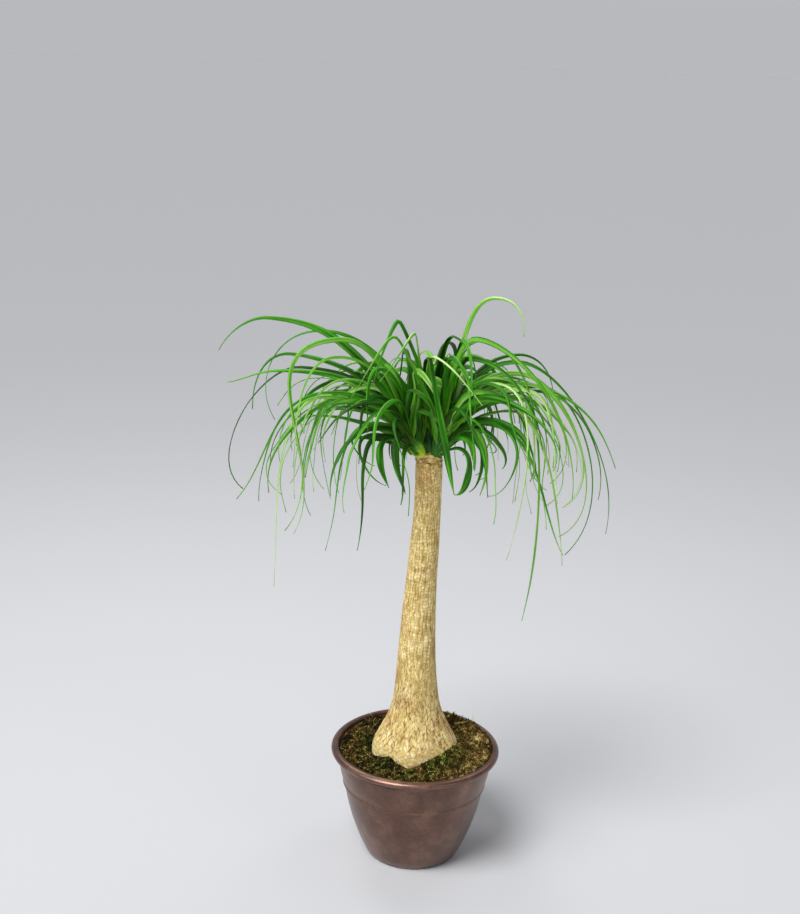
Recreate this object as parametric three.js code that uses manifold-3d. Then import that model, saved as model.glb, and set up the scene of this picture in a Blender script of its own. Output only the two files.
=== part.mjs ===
// A ponytail palm in a round pot: a lacquered pot, potting mix, a moss topping, the swollen trunk and its leaf heads.
// Millimetres, +Z up. The origin is the centre of the pot's underside and the plant's front looks along -Y.
import * as THREE from 'three';
import { mergeVertices } from 'three/addons/utils/BufferGeometryUtils.js';
import Module from 'manifold-3d';

// Driving dimensions
const POT_HEIGHT = 192;
const POT_RIM_RADIUS = 140;
const POT_FOOT_RADIUS = 76;
const POT_WALL = 3;
const POT_SIDES = 48;
const RECESS_DEPTH = 4;
const FOOT_COUNT = 6;
const FOOT_GAP = 27;
const DRAIN_RADIUS = 5;
const DRAIN_COUNT = 6;
const SOIL_LEVEL = 172;
const MOSS_LEVEL = 186;
const TRUNK_TOP = 688;
const TRUNK_SIDES = 28;
const TRUNK_LOBES = 5;
const CLEARANCE = 0.35;
const NOTED_STEPS = { up: 4, down: 5 };
const FILL_STEPS = { up: 3, down: 4 };
const LEAF_MIN_DEPTH = 1.3;
const LEAF_TIP_WIDTH = 2;
const ROOT_NARROWING = 0.5;
const LEAF_ROLL = 0.7;

const wasm = await Module();
wasm.setup();

const DEG = Math.PI / 180;
const UP = new THREE.Vector3(0, 0, 1);

// Geometry to solid and back

function toSolid(geometry) {
  const bare = geometry.clone();
  bare.deleteAttribute('normal');
  bare.deleteAttribute('uv');
  const merged = mergeVertices(bare, 1e-4);
  const triVerts = [];
  const index = merged.index.array;
  for (let i = 0; i < index.length; i += 3) {
    const [a, b, c] = [index[i], index[i + 1], index[i + 2]];
    if (a !== b && b !== c && c !== a) triVerts.push(a, b, c);
  }
  const mesh = new wasm.Mesh({
    numProp: 3,
    vertProperties: new Float32Array(merged.attributes.position.array),
    triVerts: new Uint32Array(triVerts),
  });
  return new wasm.Manifold(mesh);
}

function toGeometry(solid) {
  const mesh = solid.getMesh();
  const geometry = new THREE.BufferGeometry();
  geometry.setAttribute('position', new THREE.BufferAttribute(new Float32Array(mesh.vertProperties), 3));
  geometry.setIndex(new THREE.BufferAttribute(new Uint32Array(mesh.triVerts), 1));
  geometry.computeVertexNormals();
  return geometry;
}

// The outer skin of a joined solid: sealed hollows are filled and loose scraps dropped.
function wholeBody(solid) {
  return solid.decompose().reduce((largest, other) => (other.volume() > largest.volume() ? other : largest));
}

// A profile of [radius, height] points spun about the Z axis.
function spin(profile, sides) {
  const points = profile.map(([radius, height]) => new THREE.Vector2(radius, height));
  return new THREE.LatheGeometry(points, sides).rotateX(Math.PI / 2);
}

// Moves every vertex by a function that changes it in place.
function reshape(geometry, move) {
  const position = geometry.attributes.position;
  const vertex = new THREE.Vector3();
  for (let i = 0; i < position.count; i += 1) {
    vertex.fromBufferAttribute(position, i);
    move(vertex);
    position.setXYZ(i, vertex.x, vertex.y, vertex.z);
  }
  return geometry;
}

// Reads a column of [height, radius] stations by straight lines between them.
function valueAt(stations, height) {
  const next = stations.findIndex(([z]) => z >= height);
  if (next === 0) return stations[0][1];
  if (next < 0) return stations[stations.length - 1][1];
  const [z0, r0] = stations[next - 1];
  const [z1, r1] = stations[next];
  return r0 + ((r1 - r0) * (height - z0)) / (z1 - z0);
}

// A repeatable number from 0 to 1 for a leaf or lump and one of its traits.
function shuffle(index, trait) {
  const wave = Math.sin(index * 127.1 + trait * 311.7) * 43758.5453;
  return wave - Math.floor(wave);
}

// Pot

// The outer wall, [height, radius], from the foot to the step under the collar and on to the lip.
const POT_STEP = 125;
const OUTER_WALL = [
  [0, POT_FOOT_RADIUS],
  [22, 87.3],
  [60, 101.8],
  [100, 112.5],
  [POT_STEP, 117],
  [POT_STEP + 1.6, 118.3],
  [161, 127],
  [183, 128.6],
];
const LIP_WIDTH = 12.5;
const LIP_HEIGHT = 9.5;
const LIP_ROUND = 6;
const FLOOR_TOP = RECESS_DEPTH + POT_WALL;
const RING_FOOT_INNER = 56;
const BOSS_RADIUS = 28;

const innerWallRadius = (height) => valueAt(OUTER_WALL, height) - POT_WALL;

// The rolled lip's half-round, from its outer edge over the top to its inner edge.
function lipArc() {
  const centreRadius = POT_RIM_RADIUS - LIP_WIDTH / 2;
  const rise = 5;
  const arc = [];
  for (let i = 0; i <= LIP_ROUND; i += 1) {
    const angle = (i / LIP_ROUND) * Math.PI;
    arc.push([centreRadius + (LIP_WIDTH / 2) * Math.cos(angle), POT_HEIGHT - rise + rise * Math.sin(angle)]);
  }
  return arc;
}

function potProfile() {
  const bottom = [
    [0, 0],
    [BOSS_RADIUS, 0],
    [BOSS_RADIUS + RECESS_DEPTH, RECESS_DEPTH],
    [RING_FOOT_INNER - RECESS_DEPTH, RECESS_DEPTH],
    [RING_FOOT_INNER, 0],
  ];
  const outside = OUTER_WALL.map(([z, r]) => [r, z]);
  const lipUnderside = [[POT_RIM_RADIUS - 1.2, POT_HEIGHT - LIP_HEIGHT]];
  const inside = [183, 161, 100, 60, 22].map((z) => [innerWallRadius(z), z]);
  const floor = [
    [innerWallRadius(FLOOR_TOP) - 2, FLOOR_TOP],
    [0, FLOOR_TOP],
  ];
  return [...bottom, ...outside, ...lipUnderside, ...lipArc(), ...inside, ...floor];
}

function potGeometry() {
  let pot = toSolid(spin(potProfile(), POT_SIDES));
  for (let i = 0; i < FOOT_COUNT; i += 1) {
    const notch = new THREE.BoxGeometry(60, FOOT_GAP, 2 * (RECESS_DEPTH - 1));
    notch.translate(RING_FOOT_INNER + 15, 0, 0).rotateZ((i + 0.5) * (360 / FOOT_COUNT) * DEG - 90 * DEG);
    pot = pot.subtract(toSolid(notch));
  }
  const drainRing = (BOSS_RADIUS + RING_FOOT_INNER) / 2;
  for (let i = 0; i < DRAIN_COUNT; i += 1) {
    const drain = new THREE.CylinderGeometry(DRAIN_RADIUS, DRAIN_RADIUS, 4 * FLOOR_TOP, 12).rotateX(Math.PI / 2);
    drain.translate(drainRing, 0, 0).rotateZ(i * (360 / DRAIN_COUNT) * DEG);
    pot = pot.subtract(toSolid(drain));
  }
  return toGeometry(pot);
}

// Trunk

// The trunk, [height, radius], from the hidden underside of its swollen base to the cut top.
const TRUNK_STATIONS = [
  [108, 12],
  [116, 32],
  [128, 46],
  [148, 61],
  [170, 69],
  [190, 70],
  [203, 67.5],
  [216, 61.5],
  [226, 56.5],
  [238, 50.3],
  [252, 44.3],
  [268, 39.5],
  [290, 36],
  [318, 33.4],
  [352, 31.1],
  [390, 29.1],
  [430, 27.5],
  [466, 25.6],
  [505, 24.4],
  [548, 23.4],
  [580, 22],
  [610, 21.4],
  [660, 21.3],
  [678, 21.6],
];
// How far the trunk's centre strays sideways as it rises, [height, offset].
const TRUNK_BOW = [
  [200, 0],
  [290, -2],
  [352, -3.1],
  [430, -2.1],
  [505, 1],
  [548, 3.1],
  [610, 5.4],
  [700, 5.4],
];
const TRUNK_BOTTOM = 105;
const LOBE_DEPTH = 0.05;
const LOBE_END = 285;
const CALLUS_ROUGHNESS = 2.2;

function trunkGeometry(grow = 0) {
  const profile = [
    [0, TRUNK_BOTTOM - grow],
    ...TRUNK_STATIONS.map(([z, r]) => [r + grow, z]),
    [18.5 + grow, TRUNK_TOP - 3 + grow],
    [11, TRUNK_TOP - 1 + grow],
    [0, TRUNK_TOP - 2 + grow],
  ];
  return reshape(spin(profile, TRUNK_SIDES), (vertex) => {
    const angle = Math.atan2(vertex.y, vertex.x);
    const bow = valueAt(TRUNK_BOW, vertex.z);
    const lobed = Math.min(1, Math.max(0, (LOBE_END - vertex.z) / 90));
    const waves = 0.6 * Math.cos(TRUNK_LOBES * (angle + 90 * DEG)) + 0.4 * Math.sin(2 * angle + 0.5);
    const swell = 1 + LOBE_DEPTH * lobed * waves;
    vertex.x *= swell;
    vertex.y *= swell;
    const onCallus = vertex.z > TRUNK_TOP - 5 && Math.hypot(vertex.x, vertex.y) > 5;
    if (onCallus) vertex.z += CALLUS_ROUGHNESS * Math.sin(3 * angle);
    vertex.x += bow;
  });
}

const trunkWithClearance = toSolid(trunkGeometry(CLEARANCE));

// Potting mix and moss

function soilGeometry() {
  const profile = [
    [0, FLOOR_TOP + CLEARANCE],
    [innerWallRadius(FLOOR_TOP) - 2 - CLEARANCE, FLOOR_TOP + CLEARANCE],
    ...[22, 60, 100, SOIL_LEVEL].map((z) => [innerWallRadius(z) - CLEARANCE, z]),
    [50, SOIL_LEVEL + 3],
    [0, SOIL_LEVEL + 3],
  ];
  return toGeometry(toSolid(spin(profile, POT_SIDES)).subtract(trunkWithClearance));
}

// Soft lumps over the topping: it is heaped against the trunk, most at the right, and one tuft at the back right
// stands a little above the rim.
const MOSS_HEAPS = [
  { x: 55, y: 104, height: 11, spread: 18 },
  { x: 70, y: -42, height: 9, spread: 24 },
  { x: 84, y: 6, height: 7, spread: 24 },
  { x: -50, y: -62, height: 4.5, spread: 20 },
];

function mossLump(x, y) {
  const ripple = 1.3 * Math.sin(x / 9 + 1.3) * Math.cos(y / 11) + 1.1 * Math.sin(x / 17 - y / 13 + 0.6);
  return MOSS_HEAPS.reduce((sum, heap) => {
    const reach = Math.hypot(x - heap.x, y - heap.y) / heap.spread;
    return sum + heap.height * Math.exp(-reach * reach);
  }, ripple);
}

function mossGeometry() {
  const edge = innerWallRadius(MOSS_LEVEL) - CLEARANCE;
  const underside = SOIL_LEVEL + CLEARANCE;
  const profile = [
    [50, underside + 3],
    [95, underside + 1],
    [innerWallRadius(SOIL_LEVEL) - CLEARANCE, underside],
    [edge - 0.2, MOSS_LEVEL - 4],
    [edge - 2, MOSS_LEVEL],
    [111, MOSS_LEVEL + 1],
    [98, MOSS_LEVEL + 1],
    [86, MOSS_LEVEL],
    [75, MOSS_LEVEL],
    [50, MOSS_LEVEL],
    [50, underside + 3],
  ];
  const blanket = reshape(spin(profile, POT_SIDES), (vertex) => {
    if (vertex.z >= MOSS_LEVEL) vertex.z += mossLump(vertex.x, vertex.y);
  });
  return toGeometry(toSolid(blanket).subtract(trunkWithClearance));
}

// Leaf heads

// Each head is a short club of clasped leaf bases that leans out from the saddle on the trunk's cut top.
const HEADS = {
  left: { foot: [-4, 0, 688], centre: [-31, -5, 712], radius: 17, reach: 38 },
  right: { foot: [14, 1, 688], centre: [29, -3, 714], radius: 17, reach: 40 },
  back: { foot: [5, 9, 688], centre: [4, 30, 712], radius: 16, reach: 36 },
};

function clubSolid({ foot, centre, radius, reach }) {
  const profile = [
    [0, -3],
    [radius * 0.62, -2],
    [radius * 0.95, 14],
    [radius, 28],
    [radius * 0.8, 28 + reach * 0.5],
    [radius * 0.4, 28 + reach],
    [0, 28 + reach + 4],
  ];
  const lean = new THREE.Vector3(...centre).sub(new THREE.Vector3(...foot)).normalize();
  lean.lerp(UP, 0.35).normalize();
  const club = spin(profile, 12).applyQuaternion(new THREE.Quaternion().setFromUnitVectors(UP, lean));
  return toSolid(club.translate(...foot));
}

// Leaves that show in front or against the background: head, crest, tip, width, then, where they matter, the tilt of
// the last stretch out from straight down in degrees, how far out the rise bends over, how level the crest stays and
// how closely the rise hugs its bend.
const NOTED_LEAVES = [
  ['left', [-250, -25, 910], [-320, -40, 860], 15, 25, 0.42, 0.6],
  ['back', [-170, -15, 890], [-235, -45, 755], 20, -30, 0.5, 1.5],
  ['left', [-140, -50, 885], [-200, -95, 590], 12, 35, 0.4, 2.1],
  ['left', [-220, 60, 835], [-285, 75, 740], 9, 0, 0.25],
  ['left', [-215, -10, 825], [-310, -20, 805], 13, 80, 0.25],
  ['left', [-165, 30, 805], [-240, 45, 755], 8, 30, 0.3],
  ['left', [-205, 40, 820], [-290, 10, 625], 9, -55, 0.3, 0.85],
  ['left', [-145, -60, 860], [-200, -110, 700], 10, 5, 0.35],
  ['left', [-165, -30, 790], [-225, -50, 690], 11, -15, 0.3],
  ['left', [-150, -20, 795], [-295, -40, 625], 9, 40, 0.3],
  ['left', [-165, 20, 780], [-265, 10, 605], 8, 0, 0.3],
  ['right', [-50, -10, 910], [-85, -60, 820], 13, 15, 0.9, 0.2],
  ['right', [-55, -40, 890], [-115, -90, 805], 11, 35, 0.85, 0.3],
  ['back', [-25, -30, 895], [-75, -80, 830], 12, 60, 0.9, 0.3],
  ['left', [-20, -60, 812], [15, -70, 770], 13, 40, 0.1],
  ['back', [0, -50, 860], [45, -110, 665], 17, 50, 0.3, 0.2],
  ['back', [10, -60, 865], [80, -130, 810], 13, 70, 0.5],
  ['left', [-85, -60, 750], [-140, -120, 660], 17, -8, 0.3],
  ['left', [-75, -50, 735], [-100, -80, 560], 11, 15, 0.35],
  ['left', [-85, -30, 750], [-150, -60, 550], 12, 15, 0.35],
  ['left', [-60, -45, 730], [-55, -70, 660], 14, -30, 0.4, 2],
  ['left', [-45, -60, 735], [-30, -80, 655], 16, -45, 0.4, 2],
  ['left', [-30, -45, 720], [-35, -75, 635], 9, 15, 0.4],
  ['left', [-95, -80, 795], [-160, -130, 745], 13, 40, 0.3],
  ['left', [-85, -60, 800], [-100, -115, 710], 12, 5, 0.3],
  ['left', [-125, 20, 780], [-190, 0, 650], 11, 10, 0.3],
  ['left', [-130, 40, 765], [-180, 10, 585], 9, -30, 0.3],
  ['left', [-120, 0, 795], [-195, -30, 625], 10, 5, 0.3],
  ['left', [-130, 50, 755], [-150, 20, 610], 9, -15, 0.3, 1.6],
  ['left', [-140, 60, 765], [-210, 60, 685], 9, 20, 0.3],
  ['left', [-155, 0, 785], [-235, -20, 470], 9, 0, 0.3],
  ['left', [-85, -20, 730], [-60, -20, 650], 7, -75, 0.4, 1.8],
  ['right', [100, -10, 950], [140, -25, 895], 12, -5, 0.35, 1.2, 0.8],
  ['back', [35, 0, 885], [70, -60, 800], 18, -20, 0.2],
  ['right', [50, -20, 885], [55, -100, 775], 11, -40, 0.3],
  ['right', [80, -20, 885], [160, -60, 445], 13, -10, 0.2],
  ['right', [70, -35, 890], [225, -75, 655], 13, -5, 0.3, 0.7],
  ['right', [140, 50, 850], [200, 60, 775], 8, 0, 0.3],
  ['right', [140, 20, 845], [290, 0, 575], 10, -10, 0.3, 0.6],
  ['right', [140, -15, 835], [215, -40, 630], 10, -60, 0.3],
  ['right', [115, 10, 815], [300, 0, 685], 10, 22, 0.3],
  ['right', [105, -60, 805], [190, -110, 710], 17, -30, 0.3],
  ['right', [85, -40, 810], [215, -70, 545], 14, 5, 0.3],
  ['right', [105, -40, 758], [95, -90, 660], 14, -85, 0.35, 2.6],
  ['right', [90, -20, 755], [220, -50, 555], 10, 30, 0.35],
  ['right', [110, -50, 825], [130, -85, 555], 9, -15, 0.3, 1.3],
  ['right', [130, -30, 810], [165, -60, 680], 12, 0, 0.3],
  ['right', [150, -40, 815], [205, -70, 645], 11, 10, 0.3],
  ['right', [175, 30, 805], [230, 20, 530], 8, -45, 0.3],
  ['right', [155, 0, 815], [215, -20, 575], 9, -60, 0.3],
  ['right', [165, 20, 800], [275, 10, 630], 8, -10, 0.3],
  ['right', [55, -30, 715], [48, -45, 645], 15, -80, 0.4, 2.4],
  ['right', [60, -40, 735], [75, -60, 690], 12, 0, 0.4],
  ['right', [70, -20, 745], [85, -40, 645], 10, -25, 0.4],
  ['right', [70, 10, 725], [70, -10, 640], 9, -60, 0.4],
  ['right', [90, 40, 770], [95, 50, 685], 8, -25, 0.4],
  ['left', [-110, 0, 720], [-80, 0, 675], 7, -80, 0.35],
];

// The other leaves of each head fan out by the golden angle between two headings, the youngest first: they go from
// tall and upright to low and hanging. Headings are degrees from +X towards +Y.
const GOLDEN_ANGLE = 137.508;
const FILL = [
  { head: 'left', count: 15, from: 95, to: 265 },
  { head: 'right', count: 16, from: -85, to: 85 },
  { head: 'back', count: 17, from: 0, to: 180 },
];
const YOUNGEST = { crestRise: 138, crestRun: 45, tipRun: 115, tipRise: 55, width: 15 };
const OLDEST = { crestRise: 38, crestRun: 95, tipRun: 220, tipRise: -70, width: 12 };

function fillLeaves() {
  const leaves = [];
  FILL.forEach(({ head, count, from, to }, group) => {
    const centre = new THREE.Vector3(...HEADS[head].centre);
    for (let i = 0; i < count; i += 1) {
      const seed = group * 100 + i;
      const age = (i + 0.5) / count;
      const turn = ((i * GOLDEN_ANGLE) % 360) / 360;
      const heading = THREE.MathUtils.lerp(from, to, turn) * DEG;
      const between = (key, spread, trait) =>
        THREE.MathUtils.lerp(YOUNGEST[key], OLDEST[key], age) + spread * (shuffle(seed, trait) - 0.5);
      const place = (run, rise, veer) =>
        new THREE.Vector3(Math.cos(heading + veer), Math.sin(heading + veer), 0).multiplyScalar(run).add(centre)
          .addScaledVector(UP, rise).toArray();
      const veer = 0.5 * (shuffle(seed, 1) - 0.5);
      const crest = place(between('crestRun', 40, 2), between('crestRise', 36, 3), 0);
      const tip = place(between('tipRun', 90, 4), between('tipRise', 90, 5), veer);
      const curl = 50 * (shuffle(seed, 6) - 0.5);
      leaves.push([head, crest, tip, between('width', 5, 7), curl, 0.3]);
    }
  });
  return leaves;
}

// Where a leaf leaves its club: tall leaves from its top, low ones from its side, towards the tip.
function leafRoot(head, crest, tip) {
  const { foot, centre, radius, reach } = HEADS[head];
  const height = THREE.MathUtils.clamp((crest[2] - centre[2] - 20) / 180, 0, 1);
  const start = new THREE.Vector3(...foot).lerp(new THREE.Vector3(...centre), 0.35 + 0.5 * Math.min(1, 2.2 * height));
  const outward = new THREE.Vector3(tip[0] - centre[0], tip[1] - centre[1], 0).normalize();
  return start.addScaledVector(outward, radius * (0.6 - 0.45 * height)).addScaledVector(UP, reach * 0.7 * height);
}

// The leaf's midrib as two curves that meet, level, at the crest.
function leafMidrib([head, crestPoint, tipPoint, , curl = 0, bow = 0.25, level = 1, hug = 0.7]) {
  const root = leafRoot(head, crestPoint, tipPoint);
  const crest = new THREE.Vector3(...crestPoint);
  const tip = new THREE.Vector3(...tipPoint);
  const outward = new THREE.Vector3(tip.x - root.x, tip.y - root.y, 0).normalize();
  const run = Math.hypot(crest.x - root.x, crest.y - root.y);
  const bend = crest.clone().addScaledVector(outward, -run * (1 - bow));
  const rise = new THREE.CubicBezierCurve3(root, root.clone().lerp(bend, hug), crest.clone().lerp(bend, hug), crest);
  const fall = crest.distanceTo(tip);
  const fallRun = Math.hypot(tip.x - crest.x, tip.y - crest.y);
  const ahead = Math.min(0.55 * fall, 0.35 * fallRun + 0.18 * fall) * level;
  const last = outward.clone().multiplyScalar(Math.sin(curl * DEG)).addScaledVector(UP, -Math.cos(curl * DEG));
  const hang = new THREE.CubicBezierCurve3(
    crest,
    crest.clone().addScaledVector(outward, ahead),
    tip.clone().addScaledVector(last, -0.4 * fall),
    tip,
  );
  return { rise, hang, outward };
}

// Keeps a leaf's midrib clear of the trunk below the heads.
const HEADS_START = 700;
function clearOfTrunk(point, halfWidth) {
  if (point.z > HEADS_START) return point;
  const needed = valueAt(TRUNK_STATIONS, point.z) + halfWidth + 4;
  const middle = new THREE.Vector3(valueAt(TRUNK_BOW, point.z), 0, point.z);
  const away = point.clone().sub(middle);
  if (away.length() < needed) point.copy(middle).add(away.setLength(needed));
  return point;
}

// A strap with a shallow keel: widest near its root, drawn out to a narrow tip.
function leafSolid(leaf, order) {
  const width = leaf[3];
  const { rise, hang, outward } = leafMidrib(leaf);
  const { up, down } = order < NOTED_LEAVES.length ? NOTED_STEPS : FILL_STEPS;
  const points = [...rise.getPoints(up), ...hang.getPoints(down).slice(1)];
  points.forEach((point) => clearOfTrunk(point, width / 2));
  const steps = points.length - 1;
  const roll = LEAF_ROLL * outward.x + 0.5 * (shuffle(order, 9) - 0.5);
  const twist = 1.2 * (shuffle(order, 8) - 0.5);
  const sideways = new THREE.Vector3(-outward.y, outward.x, 0);
  const stations = points.map((point, i) => {
    const along = new THREE.Vector3().subVectors(points[Math.min(steps, i + 1)], points[Math.max(0, i - 1)]).normalize();
    const side = sideways.clone().addScaledVector(along, -sideways.dot(along)).normalize();
    side.applyAxisAngle(along, roll + twist * (i / steps));
    const face = new THREE.Vector3().crossVectors(side, along).normalize();
    const taper = Math.min(1, ROOT_NARROWING + i / steps) * (1 - (i / steps) ** 1.7);
    return { point, side, face, width: LEAF_TIP_WIDTH + (width - LEAF_TIP_WIDTH) * taper };
  });
  const strap = new THREE.CylinderGeometry(1, 1, steps, 3, steps);
  reshape(strap, (vertex) => {
    const station = stations[Math.round(steps / 2 - vertex.y)];
    const across = vertex.x / Math.sin(60 * DEG);
    const depth = (vertex.z + 0.5) / 1.5;
    const keel = Math.max(LEAF_MIN_DEPTH, 0.13 * station.width);
    vertex.copy(station.point).addScaledVector(station.side, (across * station.width) / 2);
    vertex.addScaledVector(station.face, -depth * keel);
  });
  return toSolid(strap);
}

function crownGeometry() {
  const saddle = new THREE.SphereGeometry(1, 14, 8).rotateX(Math.PI / 2).scale(20, 19, 9).translate(5, 3, TRUNK_TOP + 3);
  const clubs = Object.values(HEADS).map(clubSolid);
  const leaves = [...NOTED_LEAVES, ...fillLeaves()].map(leafSolid);
  const joined = wasm.Manifold.union([toSolid(saddle), ...clubs, ...leaves]).subtract(trunkWithClearance);
  return toGeometry(wholeBody(joined.simplify(0.02)));
}

// Scene graph

function piece(name, geometry, color, roughness, metalness = 0) {
  const mesh = new THREE.Mesh(geometry, new THREE.MeshStandardMaterial({ color, roughness, metalness }));
  mesh.name = name;
  return mesh;
}

const palm = new THREE.Group();
palm.add(piece('pot', potGeometry(), '#74503f', 0.35, 0.3));
palm.add(piece('potting_mix', soilGeometry(), '#3b2a1e', 0.95));
palm.add(piece('moss_topping', mossGeometry(), '#5d4a28', 0.95));
palm.add(piece('trunk', toGeometry(toSolid(trunkGeometry())), '#cdb273', 0.85));
palm.add(piece('leaf_crown', crownGeometry(), '#3c7a2a', 0.5));

export default palm;
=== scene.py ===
"""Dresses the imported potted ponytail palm: lacquered pot, potting mix, moss, barked trunk, strap leaves."""
import logging
import math
from dataclasses import dataclass
from enum import Enum

import bmesh
import bpy
from mathutils import Matrix, Quaternion, Vector, noise
from mathutils.geometry import interpolate_bezier


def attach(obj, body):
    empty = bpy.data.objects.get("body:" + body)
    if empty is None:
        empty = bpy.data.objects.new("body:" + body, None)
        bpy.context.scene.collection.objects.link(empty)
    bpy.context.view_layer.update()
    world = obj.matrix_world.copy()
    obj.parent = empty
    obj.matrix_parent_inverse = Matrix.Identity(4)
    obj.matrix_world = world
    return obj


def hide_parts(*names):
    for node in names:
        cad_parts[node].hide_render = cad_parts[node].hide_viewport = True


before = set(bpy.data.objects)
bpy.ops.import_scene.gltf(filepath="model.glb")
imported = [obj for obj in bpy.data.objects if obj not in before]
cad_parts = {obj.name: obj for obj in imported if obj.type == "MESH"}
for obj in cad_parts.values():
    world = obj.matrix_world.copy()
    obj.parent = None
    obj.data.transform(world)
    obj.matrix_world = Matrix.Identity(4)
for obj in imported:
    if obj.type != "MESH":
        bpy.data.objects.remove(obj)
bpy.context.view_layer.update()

MM = 0.001
UP = Vector((0.0, 0.0, 1.0))
NOISE_SEED = 11
log = logging.getLogger("palm")

Colour = tuple[float, float, float, float]
Point = tuple[float, float, float]
Pair = tuple[float, float]
Stations = tuple[Pair, ...]
Socket = bpy.types.NodeSocket
Links = dict[str | int, Socket]

# Number layers of the vertices, by which a mesh tells its finish how to colour each spot.
BARK_MARKS = ("relief", "plate")
MOSS_MARKS = ("tone", "green")
LEAF_MARKS = ("tone", "along", "across", "dry")


def linear(hex_colour: str) -> Colour:
    """Turns an sRGB hex colour into linear light.

    Args:
        hex_colour: The colour as "#rrggbb".

    Returns:
        Red, green, blue and an alpha of one.
    """
    parts = [int(hex_colour[i:i + 2], 16) / 255 for i in (1, 3, 5)]
    red, green, blue = (p / 12.92 if p <= 0.04045 else ((p + 0.055) / 1.055) ** 2.4 for p in parts)
    return (red, green, blue, 1.0)


def shuffle(index: float, trait: float) -> float:
    """Gives a repeatable number from 0 to 1.

    Args:
        index: The number of the leaf, lump or strand.
        trait: Which of its traits the number is for.

    Returns:
        The same number at every run.
    """
    wave = math.sin(index * 127.1 + trait * 311.7) * 43758.5453
    return wave - math.floor(wave)


def ripple(x: float, y: float, z: float) -> float:
    """Gives soft noise at a spot, from about -1 to 1."""
    return noise.noise(Vector((x, y, z)))


def blend(low: float, high: float, share: float) -> float:
    """Goes from low to high by a share from 0 to 1, held at both ends."""
    return low + (high - low) * min(1.0, max(0.0, share))


def smooth_step(low: float, high: float, value: float) -> float:
    """Rises softly from 0 at low to 1 at high."""
    share = min(1.0, max(0.0, (value - low) / (high - low)))
    return share * share * (3 - 2 * share)


def through_stations(stations: Stations, height: float) -> float:
    """Reads a value at a height along a smooth curve through its stations, held beyond both ends.

    Args:
        stations: Pairs of height and value, from low to high.
        height: Where to read it.

    Returns:
        The value there.
    """
    if height <= stations[0][0]:
        return stations[0][1]
    for i in range(len(stations) - 1):
        (z0, v0), (z1, v1) = stations[i], stations[i + 1]
        if height > z1:
            continue
        before, after = stations[max(0, i - 1)], stations[min(len(stations) - 1, i + 2)]
        span = z1 - z0
        slope0 = (v1 - before[1]) / (z1 - before[0]) * span
        slope1 = (after[1] - v0) / (after[0] - z0) * span
        t = (height - z0) / span
        return (v0 * (2 * t ** 3 - 3 * t ** 2 + 1) + slope0 * (t ** 3 - 2 * t ** 2 + t)
                + v1 * (3 * t ** 2 - 2 * t ** 3) + slope1 * (t ** 3 - t ** 2))
    return stations[-1][1]


def per_metre(millimetres: float) -> float:
    """Turns a pattern's real size into a texture scale."""
    return 1 / (millimetres * MM)


class Nodes:
    """A node tree that is filled node by node."""

    def __init__(self, tree: bpy.types.NodeTree) -> None:
        """Takes the tree."""
        self.tree = tree

    def add(self, kind: str, settings: dict | None = None, links: Links | None = None,
            out: str | int = 0) -> Socket | None:
        """Adds a shader node with its settings and its incoming links.

        Args:
            kind: The node's type, without the leading ShaderNode.
            settings: Values by property name or by socket name or number; "stops" fills a colour ramp.
            links: Outgoing sockets of other nodes, by this node's socket name or number.
            out: Which of its own outputs is wanted.

        Returns:
            That output, or None from a node that has none.
        """
        node = self.tree.nodes.new("ShaderNode" + kind)
        for name, value in (settings or {}).items():
            if name == "stops":
                elements = node.color_ramp.elements
                while len(elements) < len(value):
                    elements.new(1.0)
                for element, (position, colour) in zip(elements, value):
                    element.position = position
                    element.color = linear(colour)
            elif isinstance(name, str) and hasattr(node, name):
                setattr(node, name, value)
            else:
                node.inputs[name].default_value = value
        for name, socket in (links or {}).items():
            self.tree.links.new(socket, node.inputs[name])
        return node.outputs[out] if node.outputs else None


@dataclass(frozen=True)
class Finish:
    """What all finishes share: a named material with one Principled surface."""

    name: str

    def plain(self) -> dict:
        """Gives what is the same all over the surface, by the Principled shader's own sockets."""
        return {}

    def paint(self, nodes: Nodes) -> Links:
        """Draws what varies over the surface; a plain finish has nothing that does."""
        return {}

    def build(self) -> bpy.types.Material:
        """Makes the material.

        Returns:
            The material.
        """
        material = bpy.data.materials.new(self.name)
        material.use_nodes = True
        material.node_tree.nodes.clear()
        nodes = Nodes(material.node_tree)
        surface = nodes.add("BsdfPrincipled", self.plain(), self.paint(nodes))
        nodes.add("OutputMaterial", links={"Surface": surface})
        return material


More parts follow.
